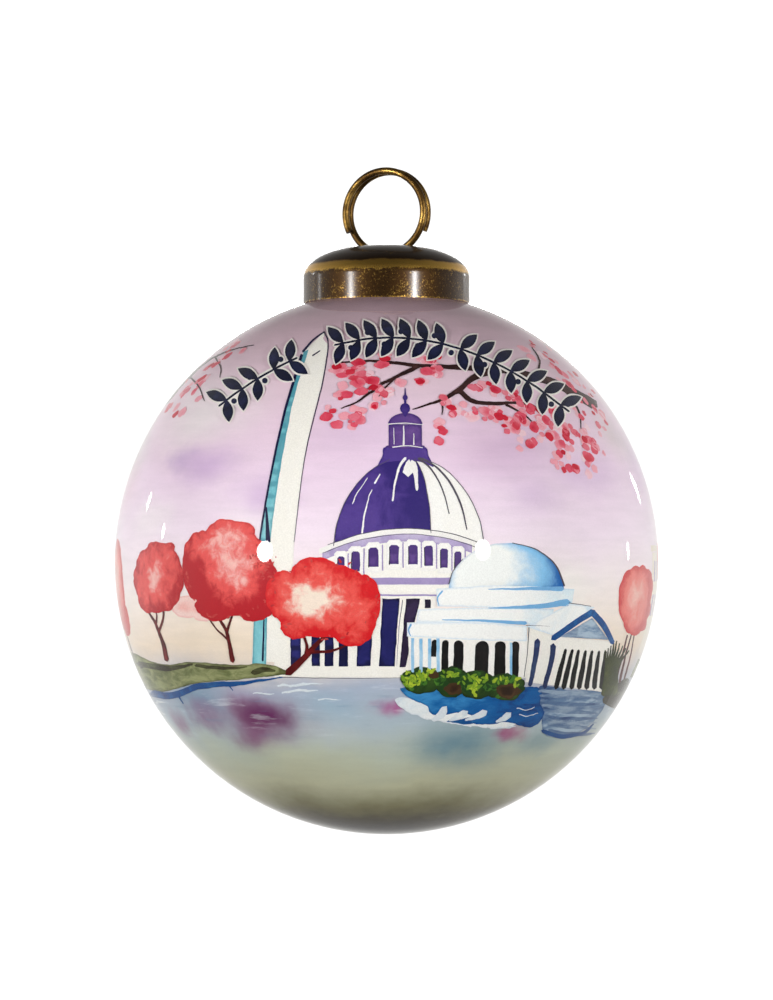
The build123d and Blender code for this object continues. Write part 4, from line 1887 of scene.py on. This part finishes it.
stems = [
    (((33.6, -17.8), (34.4, -14.6), (35.4, -10.8)), 0.42, 0.2),
    (((34.3, -17.6), (35.0, -14.4), (36.0, -10.6)), 0.34, 0.16),
    (((35.0, -17.2), (35.9, -13.6), (36.6, -9.6)), 0.26, 0.14),
]
paint("tree_right_stems", [stroke(*s) for s in stems], 7, "trunk_red", tone=0.6, wobble=0.08)
tree_crown(
    "tree_edge_crown",
    [(0.0, -3.6, 5.4, 7.0), (1.8, -8.4, 3.8, 3.0)],
    "salmon",
    5,
    -80.0,
    tone=0.15,
    light=(0.0, -2.4),
)
trunk("tree_edge_trunk", [(((0.8, -14.4), (0.5, -10.5), (0.0, -7.0)), 0.9, 0.5)], 4, turn=-80.0)

# %% [markdown]
# ## Overhanging branch and blossom
# A brown branch reaches in from the right above the dome and forks into twigs. Blossom is dabbed round
# it in three strengths, palest first. Each dab is a short press of a round brush, and a few of them lie
# close round each flower's place.


# %% Paint the branches
def branch(name, limbs, level, turn=0.0):
    """A branch and its twigs as one joined skin: each limb is (points, width, end width)."""
    paint(
        name,
        [stroke(*limb) for limb in limbs],
        level,
        "branch_brown",
        turn,
        tone=0.55,
        wobble=0.12,
        joined=True,
    )


branch(
    "branch_main",
    [
        (
            (
                (30.5, 23.2), (25.5, 26.0), (18.5, 28.0), (11.5, 28.6), (4.7, 28.9), (-2.0, 29.6),
                (-6.6, 29.3),
            ),
            1.35,
            0.22,
        ),
        (((4.9, 28.9), (2.2, 27.6), (-0.6, 26.2), (-4.0, 23.8), (-6.6, 22.6)), 0.65, 0.14),
        (((1.0, 26.9), (-0.4, 25.3), (-1.1, 24.4)), 0.3, 0.12),
        (((15.8, 28.3), (12.8, 27.1), (10.3, 25.0), (7.4, 23.6), (3.9, 22.5)), 1.15, 0.16),
        (((10.6, 25.3), (12.6, 23.7), (15.6, 23.3), (20.7, 23.3), (23.4, 21.3)), 0.75, 0.2),
        (((17.6, 23.1), (20.4, 21.6), (22.2, 19.6)), 0.34, 0.14),
        (((8.0, 24.2), (8.3, 22.8), (8.1, 21.6)), 0.3, 0.12),
        (((22.0, 27.1), (22.6, 29.6), (21.4, 31.6)), 0.42, 0.14),
        (((26.0, 25.8), (28.2, 22.4), (28.6, 19.6)), 0.45, 0.14),
    ],
    9,
)
branch(
    "branch_left",
    [
        (((-34.5, 21.0), (-31.5, 24.6), (-27.6, 28.6), (-24.0, 30.8), (-19.5, 32.0)), 0.45, 0.12),
        (((-29.0, 27.3), (-27.6, 25.8), (-26.8, 23.8)), 0.26, 0.10),
        (((-25.2, 30.2), (-24.4, 28.6), (-24.6, 27.2)), 0.24, 0.10),
    ],
    9,
)


def pressed(mark, place):
    """A mark narrowed towards the ball's rim, as a round dab there looks from the front."""
    outward = np.array(place) / math.hypot(*place)
    sideways = min(math.hypot(*place) * mm / ball_radius, 0.97)
    lost = 1 - math.sqrt(1 - sideways**2)
    return mark - np.outer((mark - np.array(place)) @ outward, outward) * lost


def blossom_dabs(seed, places, count, size):
    """Blossom dabs scattered round places: each place is (u, v, spread)."""
    draw = random.Random(seed)
    dabs = []
    for k in range(count):
        u, v, spread = places[k % len(places)]
        spot = (u + draw.gauss(0, spread), v + draw.gauss(0, spread * 0.8))
        half = size * draw.uniform(0.45, 1.0)
        dab = crown(*spot, half * draw.uniform(0.9, 1.4), half, 4, 0.14, draw.uniform(0, 9))
        dabs.append(pressed(dab, spot))
    return dabs


right_flowers = (
    (13.5, 25.8), (16.0, 25.3), (18.2, 24.1), (19.0, 24.8), (16.0, 22.1), (15.5, 20.8), (18.0, 21.4), (
        19.9, 20.4
    ),
    (19.9, 22.3), (18.0, 19.2), (22.4, 20.1), (24.2, 19.6), (24.3, 18.3), (20.2, 17.8), (25.0, 15.9), (
        26.2, 14.1
    ),
    (26.7, 19.6), (28.0, 19.1), (26.4, 17.7), (28.7, 17.0), (29.9, 17.9), (30.0, 16.2), (30.2, 14.6), (
        28.0, 13.9
    ),
    (28.0, 22.0), (22.0, 22.4), (24.6, 21.8), (8.6, 23.2), (9.8, 22.2), (8.6, 19.0), (13.0, 22.6),
)
rim_flowers = (
    (21.4, 32.0), (23.4, 30.6), (24.7, 29.3), (26.0, 28.0), (27.7, 26.3), (29.7, 24.3), (30.7, 22.6),
    (31.9, 20.6),
)
middle_flowers = (
    (-7.0, 28.6), (-5.0, 29.0), (-3.6, 27.6), (-0.3, 30.2), (6.4, 29.2), (7.8, 28.0), (7.2, 29.8), (
        -5.6, 26.5
    ),
    (-2.8, 25.8), (-6.4, 24.3), (-0.3, 25.1), (4.2, 26.6), (-7.5, 22.0), (-4.4, 22.4), (-1.3, 23.3), (
        -4.6, 20.6
    ),
)
left_flowers = (
    (-29.1, 25.1), (-27.3, 27.0), (-28.6, 26.2), (-25.6, 29.4), (-24.0, 31.0), (-22.3, 31.8), (-31.0, 22.6)
)


def petals(seed, flowers, size, spread, each):
    """A few petals pressed close round each flower's place."""
    return blossom_dabs(
        seed, [(*flower, spread) for flower in flowers for _ in range(each)], len(flowers) * each, size
    )


def tones(dabs):
    """A spread of tones, one for each dab."""
    return [0.45 + 0.75 * (i * 7 % 11) / 10 for i in range(len(dabs))]


soft_petal = (-0.35, 0.3)
flowers = right_flowers + rim_flowers + middle_flowers + left_flowers
pale = petals(31, flowers, 0.95, 1.1, 2)
paint("blossom_pale", pale, 8, "petal_pale", tone=tones(pale), edge=soft_petal, wobble=0.2)
pink = petals(32, flowers, 0.9, 0.7, 2)
paint("blossom_pink", pink, 10, "petal_pink", tone=tones(pink), edge=soft_petal, wobble=0.15)
red = petals(34, flowers, 0.72, 0.6, 1)
paint("blossom_red", red, 11, "petal_red", tone=tones(red), edge=soft_petal, wobble=0.12)

# %% [markdown]
# ## Garland
# Across the shoulder of the ball, in front of everything, runs a plain garland of navy leaves and
# berries. Each leaf has a cream leaf a little larger behind it, so that the navy is edged in cream and
# stays clear against the sky. Its stem is a shallow arch, and leaves are set along it in pairs.


# %% Paint the garland
def garland_height(u):
    """The height of the garland's stem."""
    return 33.0 - 0.0158 * (u - 0.6) ** 2


def leaf(u, v, angle, length, width):
    """A pointed leaf that grows from its foot at that angle, in degrees."""
    share = np.linspace(0, 1, 12)
    half = width / 2 * np.sin(share * math.pi) ** 0.85
    outline = np.vstack(
        (np.stack((share * length, half), 1), np.stack((share[-2:0:-1] * length, -half[-2:0:-1]), 1))
    )
    turned = math.radians(angle)
    along, across = np.array((math.cos(turned), math.sin(turned))), np.array(
        (-math.sin(turned), math.cos(turned))
    )
    return np.array((u, v)) + outline[:, :1] * along + outline[:, 1:] * across


def leaf_row(low, high, pairs, length, width, edge):
    """Pairs of leaves along the stem between two places, with a berry between. Edge makes them larger."""
    shapes = []
    for k in range(pairs):
        u = low + (high - low) * (k + 0.5) / pairs
        slope = math.degrees(math.atan(-0.0316 * (u - 0.6)))
        way = 0 if u > (low + high) / 2 else 180
        for side in (1, -1):
            spread = side * (58 if way == 0 else -58)
            angle = way + slope + spread
            foot = (
                u - math.cos(math.radians(angle)) * edge,
                garland_height(u) - math.sin(math.radians(angle)) * edge,
            )
            shapes.append(leaf(*foot, angle, length + 2 * edge, width + 2 * edge))
    return shapes


garland_runs = ((-24.6, -13.2, 5), (-7.6, 26.8, 14))
leaves, leaf_edges, stems, stem_edges, berries, berry_edges = [], [], [], [], [], []
for low, high, pairs in garland_runs:
    line = [(u, garland_height(u)) for u in np.linspace(low, high, 7)]
    leaves += leaf_row(low, high, pairs, 3.3, 1.55, 0.0)
    leaf_edges += leaf_row(low, high, pairs, 3.3, 1.55, 0.26)
    stems.append(stroke(line, 0.30, 0.30))
    stem_edges.append(stroke(line, 0.80, 0.80))
    for k in range(pairs):
        u = low + (high - low) * (k + 1) / pairs - 0.1
        side = 0.95 if k % 2 else -0.95
        berries.append(oval(u, garland_height(u) + side, 0.42, 0.42))
        berry_edges.append(oval(u, garland_height(u) + side, 0.66, 0.66))
paint(
    "garland_edges",
    leaf_edges + stem_edges + berry_edges,
    12,
    "garland_cream",
    tone=0.3,
    wobble=0.04,
    joined=True,
)
paint("garland_leaves", leaves + stems, 13, "garland_navy", tone=0.5, wobble=0.05, joined=True)
paint("garland_berries", berries, 13, "garland_navy", tone=0.2, wobble=0.03)

# %% [markdown]
# ## The far side
# The picture goes all the way round. Behind, the bank carries on past a small bandstand and a white
# footbridge, with more coral trees, a few ripples and a second branch of blossom. A small table of turns
# and sizes places the trees.

# %% Paint the far bank, trees and water
for k, (turn, level) in enumerate(((104, 4), (150, 5), (196, 4), (242, 5), (272, 3))):
    top = through(((-17, -14.8), (-9, -15.3), (-2, -14.9), (6, -15.4), (12, -15.0), (17, -15.2)))
    foot = through(((17, -17.4), (9, -18.1), (0, -17.6), (-9, -18.2), (-17, -17.5)))
    paint(f"far_bank_{k}", [np.vstack((top, foot))], level, "bank_green", turn, tone=0.35, wobble=0.2)
    dark = [
        stroke(((u, -15.6), (u + 2.4, -16.0), (u + 5.0, -15.6)), 0.5, 0.2, swell=0.3) for u in (-12, -3, 7)
    ]
    paint(f"far_bank_shadow_{k}", dark, 6, "bank_green", turn, tone=1.0, wobble=0.14)
    blue = [
        stroke(((-13, -19.4), (-5, -19.0), (3, -18.8)), 0.6, 0.12, swell=0.2),
        stroke(((4, -20.4), (9, -20.2), (14, -19.6)), 0.5, 0.1),
    ]
    paint(f"far_ripple_{k}", blue, 6, "strong_blue", turn, tone=0.45, wobble=0.14)
    pale_marks = [
        stroke(((u, v), (u + 3, v + 0.3), (u + 6, v + 0.2)), 0.25, 0.1, swell=0.2)
        for u, v in ((-12, -22.4), (2, -23.4), (6, -21.6))
    ]
    paint(f"far_water_lights_{k}", pale_marks, 3, "water_light", turn, tone=0.3, wobble=0.14)

far_trees = (
    (92, 0.0, 6.4, 6.0, "coral"),
    (108, -1.6, 5.4, 5.2, "bright_coral"),
    (152, -0.6, 5.8, 5.6, "coral"),
    (212, 0.4, 6.6, 6.2, "bright_coral"),
    (228, -2.0, 5.0, 4.8, "coral"),
    (250, -0.4, 6.2, 6.0, "coral"),
    (266, -2.2, 5.0, 4.6, "salmon"),
)
for k, (turn, v, wide, tall, dip) in enumerate(far_trees):
    draw = random.Random(80 + k)
    places = [(0, v, wide * 0.8, tall * 0.8)]
    for part in range(7):
        around = math.radians(part * 360 / 7 + draw.uniform(-16, 16))
        size = draw.uniform(0.3, 0.46)
        far = draw.uniform(0.62, 0.78)
        places.append(
            (wide * far * math.cos(around), v + tall * far * math.sin(around), wide * size, tall * size)
        )
    hearts = (
        (-wide * 0.1, v + tall * 0.2, wide * 0.42, -0.55), (wide * 0.4, v - tall * 0.4, wide * 0.4, 0.3)
    )
    crown_edge = (0.32, 1.8)
    tree_crown(f"far_tree_crown_{k}", places, dip, 9 - k % 2, turn, spots=hearts, edge=crown_edge)
    fork = v - tall * 0.8
    limbs = [
        (((0.4, -15.4), (0.2, fork - 1.4), (-1.4, fork + 1.2)), 0.8, 0.35),
        (((0.2, fork - 1.6), (1.0, fork), (1.8, fork + 1.4)), 0.5, 0.25),
    ]
    trunk(f"far_tree_trunk_{k}", limbs, 7, turn)
    dabs = leaf_dabs(50 + k, 0, v, wide, tall, 16, 0.42, low=0.7, high=0.95)
    paint(
        f"far_tree_dabs_{k}",
        dabs,
        10,
        "leaf_red",
        turn,
        tone=[0.2 + 0.5 * (i % 5) / 4 for i in range(len(dabs))],
        wobble=0.05,
    )

# %% [markdown]
# The bandstand is eight columns under a shallow tent roof. The footbridge is one long arc with a rail
# on short posts, and its shadow lies on the water under it.

# %% Paint the bandstand and footbridge
stand_turn = 130.0
stand_roof = [straight(((-5.6, -3.2), (0, 1.6), (5.6, -3.2))), oval(0, 1.9, 0.5, 0.7)]
paint(
    "bandstand_roof", stand_roof, 8, "dome_blue", stand_turn, tone=-0.1, light=(-3, -1), reach=8,
    joined=True,
)
stand = [box(-5.2, -4.4, 5.2, -3.1), box(-5.4, -14.9, 5.4, -13.4)]
stand += [box(-4.8 + 2.26 * k, -13.6, -4.2 + 2.26 * k, -4.2) for k in range(5)]
paint("bandstand_columns", stand, 7, "stone_white", stand_turn, tone=0.2, wobble=0.07, joined=True)
paint(
    "bandstand_shade",
    [box(-4.8, -13.6, 4.8, -4.2)],
    6,
    "lavender",
    stand_turn,
    light=(-4, -9),
    reach=14,
    tone=0.2,
)
rails = [
    box(-4.3 + 2.26 * k + 0.1 + 0.42 * j, -13.4, -4.3 + 2.26 * k + 0.28 + 0.42 * j, -11.6)
    for k in range(4)
    for j in range(5)
]
paint("bandstand_rails", rails, 8, "ice_blue", stand_turn, tone=0.6, wobble=0.03)
bridge_turn = 181.0


def bridge_height(u, low, high):
    """The height of an arc of the footbridge."""
    return low + (high - low) * (1 - (u / 13.0) ** 2)


deck_top = [(u, bridge_height(u, -14.6, -9.6)) for u in np.linspace(-13, 13, 9)]
deck_foot = [(u, bridge_height(u * 1.12, -16.4, -11.2)) for u in np.linspace(11.6, -11.6, 9)]
paint(
    "bridge_deck",
    [np.vstack((through(deck_top), ((13.2, -16.6),), through(deck_foot), ((-13.2, -16.6),)))],
    8,
    "stone_white",
    bridge_turn,
    tone=0.35,
)
rail = [stroke([(u, bridge_height(u, -12.6, -7.4)) for u in np.linspace(-12.4, 12.4, 9)], 0.34, 0.34)]
rail += [
    stroke(((u, bridge_height(u, -14.7, -9.7)), (u, bridge_height(u, -12.6, -7.4))), 0.24, 0.24)
    for u in np.linspace(-12, 12, 17)
]
paint("bridge_rail", rail, 9, "stone_white", bridge_turn, tone=0.1, wobble=0.04, joined=True)
courses = [stroke([(u, bridge_height(u, -15.2, -10.3)) for u in np.linspace(-11.5, 11.5, 9)], 0.14, 0.14)]
courses += [
    stroke(
        ((u, bridge_height(u, -15.3, -10.4)), (u * 1.01, bridge_height(u * 1.12, -16.2, -11.1))), 0.12, 0.12
    )
    for u in np.linspace(-9, 9, 11)
]
paint("bridge_courses", courses, 9, "ink_grey", bridge_turn, tone=0.2, wobble=0.05)
reflection = [
    stroke(((-9, -20.6), (0, -19.6), (9, -20.6)), 0.9, 0.9, swell=0.4),
    stroke(((-6, -22.2), (0, -21.6), (7, -22.4)), 0.4, 0.2, swell=0.3),
]
paint("bridge_reflection", reflection, 6, "slate_blue", bridge_turn, tone=0.6, wobble=0.2)
branch(
    "branch_behind",
    [
        (((-24, 22), (-17, 26.5), (-9, 29.0), (0, 29.4), (8, 28.0), (14, 25.8)), 1.0, 0.2),
        (((-8, 29.0), (-4, 26.4), (1, 24.6), (4, 24.2)), 0.5, 0.14),
        (((3, 29.0), (6, 30.4), (10, 31.0)), 0.4, 0.12),
        (((-16, 26.8), (-13, 24.0), (-12.4, 21.2)), 0.45, 0.14),
    ],
    9,
    turn=185.0,
)
behind_cloud = [
    (-18, 25, 2), (-12, 24, 2), (-6, 27.5, 2), (2, 25.5, 2), (8, 29, 2), (13, 26, 1.6), (-13, 21, 1.4)
]
for name, level, dip, count, size in (
    ("pale", 8, "petal_pale", 80, 0.95),
    ("pink", 10, "petal_pink", 70, 0.72),
    ("red", 11, "petal_red", 40, 0.58),
):
    dabs = blossom_dabs(60 + level, behind_cloud, count, size)
    paint(f"blossom_behind_{name}", dabs, level, dip, 185.0, tone=tones(dabs), edge=soft_petal, wobble=0.12)
print("painted pieces", len(painted), "faces", sum(len(o.data.polygons) for o in painted))
